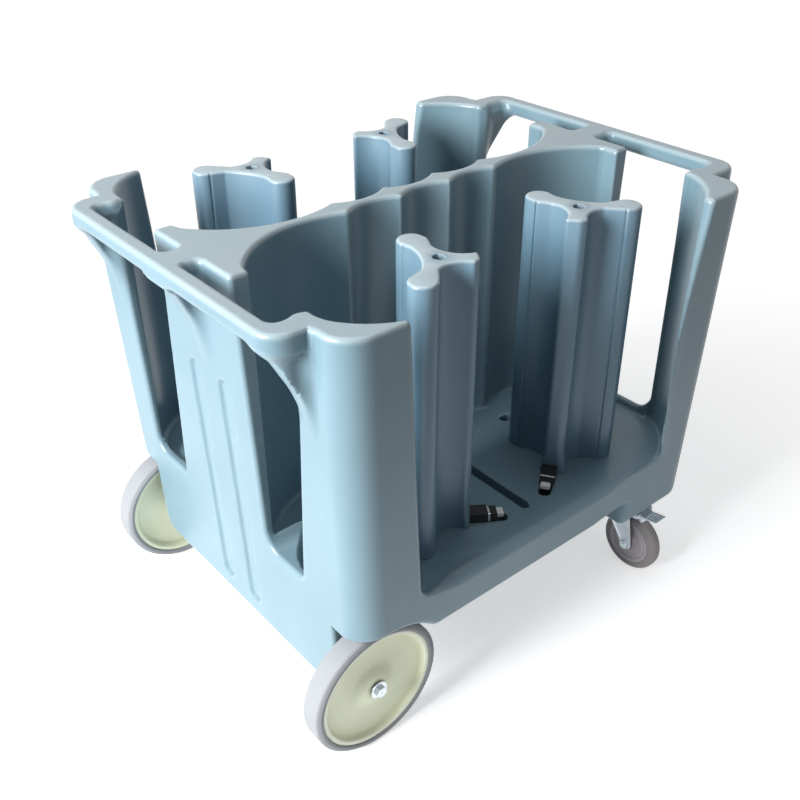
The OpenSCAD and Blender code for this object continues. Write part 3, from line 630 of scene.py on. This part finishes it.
def bodyField(x, y, z):
    b, u = body, underside
    ax, ay = np.abs(x), np.abs(y)
    lean = (b["top"] - z) / (b["top"] - b["foot"])
    end = np.where(x < 0, *b["end"])
    endX = end - b["endDraft"] * lean
    shell = meet(ax - endX, ay - (b["side"] - b["sideDraft"] * lean), b["corner"])
    thick, thin, half = b["web"]
    web = np.minimum(end - thin - ax, np.maximum(end - thick - ax, ay - opening["slot"][1]))
    standing = join(bayPlan(ax, ay), postPlan(x, z, ax, ay), 4)
    standing = join(standing, np.maximum(web, ay - half), 4)
    standing = cut(standing, openings(x, y, z, ax, ay), b["innerRim"])
    floor = join(z - b["deck"], standing, b["fillet"])
    # the sill of the long sides is rounder than the other rims, away from the posts
    start, stop = b["sillEnds"]
    low = share(-z, -b["sillTop"], b["sillFade"]) * share(ay, b["sillFrom"], b["sillFade"])
    low = low * share(x, start, b["sillRun"]) * share(-x, -stop, b["sillRun"])
    form = meet(shell, floor, b["rim"] + (b["sill"] - b["rim"]) * low)
    # handles and gussets, kept inside the handles' outline
    form = join(form, meet(handlePlan(ax, ay, end), grip["low"] - z, grip["round"]), 10)
    form = join(form, finField(z, ax, ay, end), 24)
    form = np.maximum(form, np.minimum(handleOutline(ax, ay), ax - end - 2))
    form = meet(form, z - b["top"], b["rim"])
    # axle box, caster blocks and wheel wells
    start, run, extra = u["runOut"]
    form = meet(form, belowField(x, z, ay), 8 + extra * share(x, start, run))
    form = meet(form, b["foot"] - z, 12)
    wellX, wellZ, wellR, wellY = u["well"]
    section = meet(ay - wellY, b["foot"] - z, u["wellCorner"])
    form = cut(form, np.maximum(np.hypot(x - wellX, z - wellZ) - wellR, -section), 8)
    # slots in the deck, and two shallow flutes up the wheel end
    form = cut(form, deckGrooves(ax, ay, y, z), 3)
    f = flutes
    flute = np.hypot(ay - f["offset"], z - np.clip(z, f["foot"], f["top"])) - f["radius"]
    return cut(form, meet(flute, x + endX - f["depth"], f["edge"]), f["blend"])


fieldPiece("bodyShell", bodyField, *body["bounds"], body["step"], body["faceCount"],
           "body", "chassis", "body", ["body_shell"])


# Towers

tower = {
    "foot": 298.3, "top": 798, "round": 5, "head": 24, "neck": 22.3,
    "inner": (81, 78), "outer": (213, 83),  # the two round heads: bearing and reach from the hub
    "latchWay": -grooves["way"], "latchReach": 61, "latchHalf": 12,
    "hollows": ((21, 26, 51), (149, 28, 112), (-96, 28, 45)),  # flanks: bearing, depth and radius
    "flareHeight": 46, "flareShare": 0.5, "hexFlats": 19, "hexDepth": 22,
    "lineWay": 112, "lineDepth": 1.6, "rays": 5760, "points": 230,
    "places": {"near_left": (-grooves["towerX"], -grooves["nearY"], 1, 1),
               "near_right": (grooves["towerX"], -grooves["nearY"], -1, 1),
               "far_left": (-grooves["towerX"], grooves["farY"], 1, -1),
               "far_right": (grooves["towerX"], grooves["farY"], -1, -1)},
}


def along(way, reach):
    return np.array([math.cos(math.radians(way)), math.sin(math.radians(way))]) * reach


def towerPlan(x, y):
    t = tower
    inner, outer = along(*t["inner"]), along(*t["outer"])
    tip = along(t["latchWay"], t["latchReach"])
    edge = along(t["latchWay"] + 90, t["latchHalf"])
    ring = [outer + along(124, t["neck"]), outer + along(-60, t["neck"]), tip - edge, tip + edge,
            inner + np.array([t["neck"], 0]), inner - np.array([t["neck"], 0])]
    plan = None
    for k, here in enumerate(ring):
        way = ring[(k + 1) % 6] - here
        side = ((x - here[0]) * way[1] - (y - here[1]) * way[0]) / np.linalg.norm(way)
        plan = side if plan is None else meet(plan, side, 3)
    for way, depth, radius in t["hollows"]:
        centre = along(way, depth + radius)
        plan = meet(plan, radius - np.hypot(x - centre[0], y - centre[1]), 3)
    for head in (inner, outer):
        plan = join(plan, np.hypot(x - head[0], y - head[1]) - t["head"], 2)
    return plan


# outline found by walking in along rays to the hub, then spaced evenly
def towerOutline():
    turn = np.linspace(0, 2 * math.pi, tower["rays"], endpoint=False)
    rays = np.stack([np.cos(turn), np.sin(turn)], 1)
    reach = np.full(len(turn), 135.0)
    for _ in range(260):
        gap = towerPlan(reach * rays[:, 0], reach * rays[:, 1])
        reach = reach - np.maximum(gap, 0) * 0.6
    path = rays * reach[:, None]
    span = np.linalg.norm(np.roll(path, -1, 0) - path, axis=1)
    run = np.concatenate([[0], np.cumsum(span)])
    spots = np.linspace(0, run[-1], tower["points"], endpoint=False)
    closed = np.concatenate([path, path[:1]])
    return np.stack([np.interp(spots, run, closed[:, k]) for k in (0, 1)], 1)


def towerShape():
    t = tower
    path = towerOutline()
    tangent = np.roll(path, -1, 0) - np.roll(path, 1, 0)
    normal = np.stack([tangent[:, 1], -tangent[:, 0]], 1)
    normal /= np.linalg.norm(normal, axis=1, keepdims=True)
    # groove lines where the flanks turn into the two heads
    groove = np.zeros(len(path))
    for way, reach in (t["inner"], t["outer"]):
        for side in (-1, 1):
            spot = along(way, reach) + along(way + side * t["lineWay"], t["head"])
            groove[np.argmin(np.hypot(*(path - spot).T))] = 1
    # the latch arm spreads towards its foot
    spread = along(t["latchWay"] + 90, 1)
    u = path @ along(t["latchWay"], 1)
    v = path @ spread
    arm = np.clip((u - 30) / 26, 0, 1) ** 2 * (np.abs(v) < 30)
    levels = [(0, 1.2)] + [(h, 0.0) for h in (1.2, 8, 16, 24, 32, 40, t["flareHeight"], 60)]
    height = t["top"] - t["foot"]
    levels += [(height * k / 6, 0.0) for k in range(1, 6)]
    for k in range(5):
        bend = math.radians(90 * k / 4)
        levels.append((height - t["round"] * (1 - math.sin(bend)), t["round"] * (1 - math.cos(bend))))
    points, rims = [], []
    for rise, inset in levels:
        flare = t["flareShare"] * (1 - min(1, max(0, rise - 6) / t["flareHeight"])) ** 1.5
        plan = path - normal * (inset + groove * t["lineDepth"])[:, None]
        plan = plan + spread * (flare * arm * v)[:, None]
        points.append(np.column_stack([plan, np.full(len(plan), t["foot"] + rise)]))
        # the rounded top edge is marked for a painted highlight
        rims.append(np.full(len(plan), min(1.0, inset / 2) if rise > 50 else 0.0))
    n, rows = len(path), len(levels)
    faces = [(r * n + k, r * n + (k + 1) % n, (r + 1) * n + (k + 1) % n, (r + 1) * n + k)
             for r in range(rows - 1) for k in range(n)]
    form = bmesh.new()
    verts = [form.verts.new(p) for p in np.concatenate(points)]
    for face in faces:
        form.faces.new([verts[k] for k in face])
    # hexagonal socket in the top, and a floor under it
    corner = t["hexFlats"] / 2 / math.cos(math.radians(30))
    sockets = []
    for z, grow in ((t["top"], 0.8), (t["top"] - 0.8, 0.0), (t["top"] - t["hexDepth"], 0.0)):
        sockets.append([form.verts.new((*along(60 * k, corner + grow), z)) for k in range(6)])
    for upper, lower in zip(sockets, sockets[1:]):
        for k in range(6):
            form.faces.new([upper[k], lower[k], lower[(k + 1) % 6], upper[(k + 1) % 6]])
    form.faces.new(sockets[-1])
    rim = verts[(rows - 1) * n:]
    edges = [form.edges.get((rim[k], rim[(k + 1) % n])) for k in range(n)]
    edges += [form.edges.get((sockets[0][k], sockets[0][(k + 1) % 6])) for k in range(6)]
    bmesh.ops.triangle_fill(form, edges=edges, use_beauty=True)
    form.faces.new(verts[:n][::-1])
    form.verts.index_update()
    points = np.array([v.co for v in form.verts])
    faces = [tuple(v.index for v in face.verts) for face in form.faces]
    form.free()
    marks = np.concatenate(rims + [np.zeros(len(points) - n * rows)])
    return points, faces, marks


towerPoints, towerFaces, towerRims = towerShape()
# tower tops, marked for the painted highlight and wear on the tops
towerTops = np.clip((towerPoints[:, 2] - tower["top"] + 6) / 5, 0, 1) * 0.7
rod = {"radius": 6, "head": 8, "flats": 17.6, "foot": 276}
shoe = {"length": 50, "width": 21, "corner": 10, "foot": 276}
seat = tower["top"] - tower["hexDepth"]
hexagon = [along(60 * k, rod["flats"] / 2 / math.cos(math.radians(30))) for k in range(6)]
shoePlan = [(x * shoe["length"] / 2, y * shoe["width"] / 2)
            for x, y in ((-1, -1), (1, -1), (1, 1), (-1, 1))]
for corner, (cx, cy, flipX, flipY) in tower["places"].items():
    placed = towerPoints * [flipX, flipY, 1] + [cx, cy, 0]
    addPiece(corner + "_towerBody", placed, towerFaces, "tower", corner + "_tower_slide", "tower",
             [corner + "_tower"], {"rim": towerRims, "crease": towerRims * 0, "top": towerTops})
    # clamp rod with its hexagonal head in the socket, and the shoe that runs in the deck's slot
    head = slabOf(hexagon, seat, seat + rod["head"], (cx, cy, 0), (1, 0, 0), (0, 1, 0), (0, 0, 1))
    stem = turned(barProfile(rod["radius"], rod["foot"], seat), (cx, cy, 0), (0, 0, 1), 32)
    clamp = addPiece(corner + "_clampRod", *together(head, stem), "zinc", corner + "_tower_slide", "zinc",
                     [corner + "_rod"], angle=30)
    soften(clamp, 0.7)
    way = along(tower["latchWay"], 1) * [flipX, flipY]
    guide = slabOf(eased(shoePlan, shoe["corner"], 5), shoe["foot"], tower["foot"], (cx, cy, 0),
                   (*way, 0), (-way[1], way[0], 0), (0, 0, 1))
    addPiece(corner + "_slotShoe", *guide, "bush", corner + "_tower_slide", "bush", [corner + "_shoe"])
print("towers made")


# Latches: housing with a bright band, a narrower nose and a white push button

latch = {"reach": 61, "low": 299, "length": 49, "width": 27, "height": 17, "nose": 12, "noseSet": 2,
         "bandAt": 32, "bandWide": 4.5, "button": (18, 9), "buttonOut": 12, "edge": 1.2}


def boxAlong(u0, u1, v, w0, w1, place):
    outline = [(u0, -v), (u1, -v), (u1, v), (u0, v)]
    origin, u, side, up = place
    return slabOf(outline, w0, w1, origin, u, side, up)


for corner, (cx, cy, flipX, flipY) in tower["places"].items():
    way = along(tower["latchWay"], 1) * [flipX, flipY]
    across = np.array([-way[1], way[0], 0])
    origin = np.array([cx, cy, latch["low"]]) + np.append(way * latch["reach"], 0)
    place = (origin, np.append(way, 0), across, np.array([0, 0, 1.0]))
    half, tall, end = latch["width"] / 2, latch["height"], latch["length"]
    bodyEnd = end - latch["nose"]
    bandEnd = latch["bandAt"] + latch["bandWide"]
    inset = latch["noseSet"]
    main = together(boxAlong(0, latch["bandAt"], half, 0, tall, place),
                    boxAlong(bandEnd, bodyEnd, half, 0, tall, place),
                    boxAlong(bodyEnd, end, half - inset, inset, tall - inset, place))
    housing = addPiece(corner + "_latchHousing", *main, "latch", corner + "_tower_slide", "latch",
                       [corner + "_latch"])
    soften(housing, latch["edge"], 3)
    ring = boxAlong(latch["bandAt"], bandEnd, half - 0.2, 0.3, tall - 0.2, place)
    soften(addPiece(corner + "_latchBand", *ring, "band", corner + "_tower_slide", "latch"), 0.8)
    wide, high = latch["button"]
    push = boxAlong(end - 1, end + latch["buttonOut"], wide / 2, (tall - high) / 2, (tall + high) / 2,
                    place)
    button = addPiece(corner + "_pushButton", *push, "button", corner + "_latch_button", "button",
                      [corner + "_button"])
    soften(button, 2.2, 4)
print("latches made")


# Large wheels

wheel = {
    "x": -370, "y": 320.5, "z": 125, "outer": 125, "rimFrom": 101, "rimHeight": 8, "crease": (97, 7),
    # profiles of (radius, way out from mid-wheel), each with the radii of its corners
    "dish": [(11.2, -19.5), (26, -19.5), (34, -9), (98, -9), (104, -19.5), (111, -19.5), (111, 19.5),
             (103.5, 19.5), (100, 10), (70, 5.5), (42, 6.5), (25, 17.4), (11.2, 17.4)],
    "dishCorners": [0, 2, 4, 4, 2, 1, 1.5, 3, 6, 20, 12, 5, 0.4],
    "tread": [(111, 19.5), (112.5, 22), (117, 22.5), (125, 18), (125, -18), (117, -22.5), (112.5, -22),
              (111, -19.5)],
    "treadCorners": [0.3, 1.5, 4, 7, 7, 4, 1.5, 0.3],
    "washer": [(5.1, 19.8), (16, 19.8), (16, 22.7), (5.1, 22.7)], "washerCorners": [0, 0.4, 0.9, 0],
    "bolt": (5, -7, 22.8), "boltFlats": 19, "boltTop": 30.8,  # stem: radius, foot and seat of the head
}


# 1 at a radius, fading to 0 over a width to each side
def ringMark(radius, at, width):
    return np.clip(1 - np.abs(radius - at) / width, 0, 1)


def treadMarks(points, centre, plane, full):
    radius = np.hypot(*(points[:, plane] - np.array(centre)[plane]).T)
    return share(radius, full - 5, 5)


def hexHead(centre, axis, flats, low, high, bore=0.0):
    axis = np.array(axis, float)
    side = np.roll(axis, 1)
    up = np.cross(axis, side)
    outer = flats / 2 / math.cos(math.radians(30))
    turn = np.radians(np.arange(0, 360, 7.5))
    flat = np.array([flats / 2 / math.cos((a + math.pi / 6) % (math.pi / 3) - math.pi / 6) for a in turn])
    chamfer = (outer - flats / 2) * 0.9
    rows = [(flat, low), (flat, high - chamfer * 0.8),
            (np.minimum(flat, flats / 2 + chamfer * 0.35), high - 0.5),
            (np.full(len(turn), flats / 2 - 0.6), high), (np.full(len(turn), max(bore, 1.0)), high),
            (np.full(len(turn), max(bore, 1.0)), low)]
    points = []
    for radii, level in rows:
        points.append(np.array(centre, float) + axis * level
                      + radii[:, None] * (np.cos(turn)[:, None] * side + np.sin(turn)[:, None] * up))
    n = len(turn)
    faces = [(r * n + k, r * n + (k + 1) % n, (r + 1) % 6 * n + (k + 1) % n, (r + 1) % 6 * n + k)
             for r in range(6) for k in range(n)]
    return np.concatenate(points), faces


for side, sign in (("near", -1), ("far", 1)):
    centre = (wheel["x"], sign * wheel["y"], wheel["z"])
    axis = (0, sign, 0)
    points, faces = turned(eased(wheel["dish"], wheel["dishCorners"], 5), centre, axis, 120)
    radius = np.hypot(points[:, 0] - centre[0], points[:, 2] - centre[2])
    height = (points[:, 1] - centre[1]) * sign
    # rim: painted highlight on the raised rim; crease: painted shade with dust
    marks = {"rim": share(radius, wheel["rimFrom"], 4) * (height > wheel["rimHeight"]),
             "crease": ringMark(radius, *wheel["crease"])}
    addPiece(side + "_wheelDish", points, faces, "disc", side + "_wheel", "wheel_disc",
             [side + "_wheel_disc"], marks, angle=50)
    points, faces = turned(eased(wheel["tread"], wheel["treadCorners"], 6), centre, axis, 128)
    addPiece(side + "_wheelTyre", points, faces, "tyre", side + "_wheel", "wheel_tyre", [side + "_tyre"],
             {"tread": treadMarks(points, centre, [0, 2], wheel["outer"])}, angle=50)
    washer = eased(wheel["washer"], wheel["washerCorners"], 2)
    addPiece(side + "_hubWasherRing", *turned(washer, centre, axis, 48), "zinc", "chassis", "zinc",
             [side + "_hub_washer"])
    head = hexHead(centre, axis, wheel["boltFlats"], wheel["bolt"][2], wheel["boltTop"])
    stem = turned(barProfile(*wheel["bolt"]), centre, axis, 24)
    addPiece(side + "_hubBoltHead", *together(head, stem), "zinc", "chassis", "zinc",
             [side + "_hub_bolt"], angle=25)
print("wheels made")


# Casters

caster = {
    "x": 312, "y": 290, "trail": 36, "axleZ": 63.5, "outer": 63.5, "crown": 155.7, "steel": 3.5,
    "inside": 20, "foot": 13, "topHalf": 31, "spare": 3, "shoulder": 4, "crownCorner": 4,
    "flange": (7, 2),  # its width at the top and at the foot
    "nutFlats": 17, "nutHeight": 7, "nutBore": 5.0, "rims": ((43, 2.5), (31.5, 1.6)), "crease": (38, 4),
    "core": [(8.1, -16), (13, -16), (17, -8), (38, -8), (42, -14), (46.5, -14), (46.5, 14), (43, 14),
             (41, 9.5), (33, 9.5), (31.5, 11), (29.5, 9), (18, 8.5), (14.5, 16), (8.1, 16)],
    "coreCorners": [0, 1, 3, 3, 1, 0.5, 0.5, 1.5, 1.5, 1, 1, 1.5, 3, 1.5, 0],
    "tread": [(46.5, 14), (51, 16), (57, 15), (63.5, 8), (63.5, -8), (57, -15), (51, -16), (46.5, -14)],
    "treadCorners": [0.3, 3, 5, 7, 7, 5, 3, 0.3],
}
brake = {
    "eye": 52, "drop": 9, "eyeHalf": 6, "reach": 42, "rise": 6, "half": 15,
    "lobeHalf": 14.5, "lobeTilt": 35, "lobeReach": 16.5, "lobeWide": 4,
    "ribs": 4, "ribStart": 16, "ribPitch": 6.5, "ribHalf": 12.5,
}


for side, sign in (("near", -1), ("far", 1)):
    c = caster
    centre = (c["x"], sign * (c["y"] + c["trail"]), c["axleZ"])
    axis = (-1, 0, 0)
    points, faces = turned(eased(c["core"], c["coreCorners"], 4), centre, axis, 96)
    radius = np.hypot(points[:, 1] - centre[1], points[:, 2] - centre[2])
    outerRim, innerRim = c["rims"]
    # rims: painted highlights on two rings; crease: painted shade with dust
    marks = {"rim": ringMark(radius, *outerRim) + ringMark(radius, *innerRim),
             "crease": ringMark(radius, *c["crease"])}
    addPiece(side + "_casterHub", points, faces, "core", side + "_caster", "caster_core",
             [side + "_caster_core"], marks, angle=50)
    points, faces = turned(eased(c["tread"], c["treadCorners"], 5), centre, axis, 112)
    addPiece(side + "_casterTread", points, faces, "casterTyre", side + "_caster", "caster_tyre",
             [side + "_caster_tyre"], {"tread": treadMarks(points, centre, [1, 2], c["outer"])}, angle=50)

    # pressed fork: crown, two tapered cheeks with turned-out edges, and the pedal's ears
    origin = (c["x"], sign * c["y"], 0)
    out, up = (0, sign, 0), (0, 0, 1)
    outside = c["inside"] + c["steel"]
    foot = [(c["trail"] + c["foot"] * math.cos(a), c["axleZ"] + c["foot"] * math.sin(a))
            for a in np.radians(np.arange(190, 371, 15))]
    low = c["crown"] - c["steel"]
    shoulder = low - c["shoulder"]
    cheek = [(-c["topHalf"], c["crown"]), (-c["topHalf"], shoulder), *foot,
             (c["topHalf"] + c["spare"], shoulder), (c["topHalf"], c["crown"])]
    eyeX, eyeZ, eyeR = brake["eye"], low - brake["drop"], brake["eyeHalf"]
    ear = [(20, c["crown"] - 1), (eyeX, eyeZ + eyeR), (eyeX + 5, eyeZ + 3), (eyeX + eyeR, eyeZ),
           (eyeX + 5, eyeZ - 3), (eyeX, eyeZ - eyeR), (24, eyeZ - 8)]
    parts = []
    for across in (-1, 1):
        face = across * outside
        lowX, highX = sorted((across * c["inside"], face))
        parts.append(slabOf(cheek, lowX, highX, origin, out, up, (1, 0, 0)))
        parts.append(slabOf(ear, lowX, highX, origin, out, up, (1, 0, 0)))
        # flange along the back edge, turned outwards
        back = np.array([(-c["topHalf"], low - 2), (c["trail"] - c["foot"] + 0.5, c["axleZ"] + 4)])
        lip = []
        for (py, pz), wide in zip(back, c["flange"]):
            base = np.array(origin, float) + np.array(out) * py + np.array(up) * pz
            lip.append((base + [face - across * 1.0, 0, 0],
                        base + [face + across * wide * 0.75, -sign * wide * 0.6, 0]))
        shift = np.array([0, sign * 1.6, 1.0])
        quad = [lip[0][0], lip[0][1], lip[1][1], lip[1][0]]
        walls = [(k, (k + 1) % 4, (k + 1) % 4 + 4, k + 4) for k in range(4)]
        parts.append((np.array(quad + [q + shift * 1.6 for q in quad]),
                      [(3, 2, 1, 0), (4, 5, 6, 7)] + walls))
    crown = [(-outside, -c["topHalf"]), (outside, -c["topHalf"]), (outside, c["topHalf"]),
             (-outside, c["topHalf"])]
    parts.append(slabOf(eased(crown, c["crownCorner"], 3), low, c["crown"], origin, (1, 0, 0), out, up))
    fork = addPiece(side + "_pressedFork", *together(*parts), "zinc", side + "_swivel", "zinc",
                    [side + "_fork"], angle=30)
    soften(fork, 0.7)
    nut = hexHead(centre, axis, c["nutFlats"], outside, outside + c["nutHeight"], c["nutBore"])
    addPiece(side + "_lockNut", *nut, "zinc", side + "_swivel", "zinc", [side + "_axle_nut"], angle=25)

    # brake pedal: eye, ribbed tread plate and lobe
    b = brake
    reach, rise = b["reach"], b["rise"]
    plate = [(0, -5), (10, -3), (reach, rise - 1.5), (reach + 1, rise + 1.5), (10, 1), (0, 5.5), (-6, 2),
             (-6, -2)]
    pedalOrigin = (c["x"], sign * (c["y"] + eyeX), eyeZ)
    pieces = [slabOf(eased(plate, [2, 2, 0.6, 0.6, 3, 3, 2, 2], 3), -b["half"], b["half"], pedalOrigin,
                     out, up, (1, 0, 0))]
    tilt = math.radians(b["lobeTilt"])
    wide, deep = b["lobeWide"], b["lobeReach"]
    lobe = [np.array([[math.cos(tilt), -math.sin(tilt)], [math.sin(tilt), math.cos(tilt)]]) @ p
            for p in ((-wide, -deep), (wide, -deep), (wide, 0), (-wide, 0))]
    pieces.append(slabOf(eased(lobe, [1.5, 1.5, 0, 0], 3), -b["lobeHalf"], b["lobeHalf"], pedalOrigin,
                         out, up, (1, 0, 0)))
    for k in range(b["ribs"]):
        spot = b["ribStart"] + b["ribPitch"] * k
        lift = rise * spot / reach + 1.2
        rib = [(spot, lift - 1.4), (spot + 2.4, lift - 1.1), (spot + 2.2, lift + 1.1),
               (spot + 0.3, lift + 0.8)]
        pieces.append(slabOf(rib, -b["ribHalf"], b["ribHalf"], pedalOrigin, out, up, (1, 0, 0)))
    pedal = addPiece(side + "_brakeTread", *together(*pieces), "zinc", side + "_pedal", "zinc",
                     [side + "_brake_pedal"], angle=30)
    soften(pedal, 0.5)
print("casters made")


# Carried-over metal and nylon parts

keepZinc = ["axle"] + [s + n for s in ("near_", "far_") for n in
                       ("collar", "caster_plate", "plate_bolts", "swivel_race", "swivel_pin",
                        "caster_axle", "pedal_pin")]
keepBush = [s + n for s in ("near_", "far_") for n in ("wheel_bush", "caster_bush")]
for names, finish in ((keepZinc, "zinc"), (keepBush, "bush")):
    for name in names:
        mesh = nodes[name].data
        if not mesh.materials:
            mesh.materials.append(None)
        for k in range(len(nodes[name].material_slots)):
            nodes[name].material_slots[k].material = finishes[finish]


# Floor, light and camera

def areaLight(name, place, target, size, power, colour):
    data = bpy.data.lights.new(name, "AREA")
    data.shape = "DISK"
    data.size = size
    data.energy = power
    data.color = colour
    lamp = bpy.data.objects.new(name, data)
    bpy.context.scene.collection.objects.link(lamp)
    lamp.location = place
    lamp.rotation_euler = (Vector(target) - Vector(place)).to_track_quat("-Z", "Y").to_euler()


studio = {
    "ambient": 0.12, "floorHalf": 14, "floorGrey": (0.80, 0.81, 0.82, 1), "floorGlow": 0.55,
    "fade": (0.8, 1.9),  # metres from the object's middle over which the floor turns white
    # place, target, size, power and colour
    "keyLight": ((-3.3, 0.1, 1.9), (0, 0, 0.45), 2.0, 300, (1, 1, 1)),
    "topLight": ((0.4, 0.3, 3.4), (0, 0, 0.4), 2.6, 26, (1, 1, 1)),
    "fillLight": ((0.6, -3.4, 1.3), (0, 0, 0.4), 2.4, 5, (1.0, 0.98, 0.96)),
}


def seenDirectly(f):
    path = [f.node("ShaderNodeLightPath", output=n) for n in
            ("Is Camera Ray", "Is Glossy Ray", "Is Transmission Ray")]
    return path[0] + path[1] + path[2]


world = bpy.data.worlds.new("studio")
bpy.context.scene.world = world
world.use_nodes = True
f = Finish(world.node_tree)
ambient = f.node("ShaderNodeBackground", {},
                 {"Color": (0.93, 0.96, 1.0, 1), "Strength": studio["ambient"]})
white = f.node("ShaderNodeBackground", {}, {"Color": (1, 1, 1, 1), "Strength": 1.0})
blend = f.node("ShaderNodeMixShader", {}, {0: seenDirectly(f), 1: ambient, 2: white})
world.node_tree.links.new(blend.socket, world.node_tree.nodes["World Output"].inputs["Surface"])

floorMesh = bpy.data.meshes.new("studioFloor")
half = studio["floorHalf"]
floorMesh.from_pydata([(-half, -half, 0), (half, -half, 0), (half, half, 0), (-half, half, 0)], [],
                      [(0, 1, 2, 3)])
floorPiece = bpy.data.objects.new("studioFloor", floorMesh)
bpy.context.scene.collection.objects.link(floorPiece)
floorPaint, f = newFinish("paleFloor", Roughness=0.9, Emission_Strength=1.0)
# pale floor that turns to plain white away from the object
place = f.node("ShaderNodeTexCoord", output="Object")
distance = f.node("ShaderNodeVectorMath", {"operation": "LENGTH"}, {0: place}, output=1)
away = f.ramp(distance, *studio["fade"])
f.feed("Base Color", f.mix(away, studio["floorGrey"], (0, 0, 0, 1)))
glow = f.mix(away, (studio["floorGlow"],) * 3 + (1,), (1, 1, 1, 1))
f.feed("Emission Color", f.mix(seenDirectly(f), (0, 0, 0, 1), glow))
floorMesh.materials.append(floorPaint)

for name in ("keyLight", "topLight", "fillLight"):
    areaLight(name, *studio[name])

# fitted to the body's straight edges in the photograph
view = {"sensor": 36, "focal": 990.2744 / 800 * 36, "yaw": 0.8776765, "pitch": 0.5681710,
        "roll": -0.0039335, "place": (-1.0568030, -1.2260527, 1.4052751)}
cameraData = bpy.data.cameras.new("photoCamera")
cameraData.lens = view["focal"]
cameraData.sensor_width = view["sensor"]
camera = bpy.data.objects.new("photoCamera", cameraData)
bpy.context.scene.collection.objects.link(camera)
cy, sy, cp, sp = (fn(v) for v, fn in ((view["yaw"], math.cos), (view["yaw"], math.sin),
                                      (view["pitch"], math.cos), (view["pitch"], math.sin)))
ahead = Vector((cy * cp, sy * cp, -sp))
right = Vector((sy, -cy, 0))
upward = right.cross(ahead)
cr, sr = math.cos(view["roll"]), math.sin(view["roll"])
right, upward = cr * right + sr * upward, -sr * right + cr * upward
turn = Matrix((right, upward, -ahead)).transposed().to_4x4()
camera.matrix_world = Matrix.Translation(view["place"]) @ turn
bpy.context.scene.camera = camera
bpy.context.scene.view_settings.view_transform = "Standard"
print("stage set")
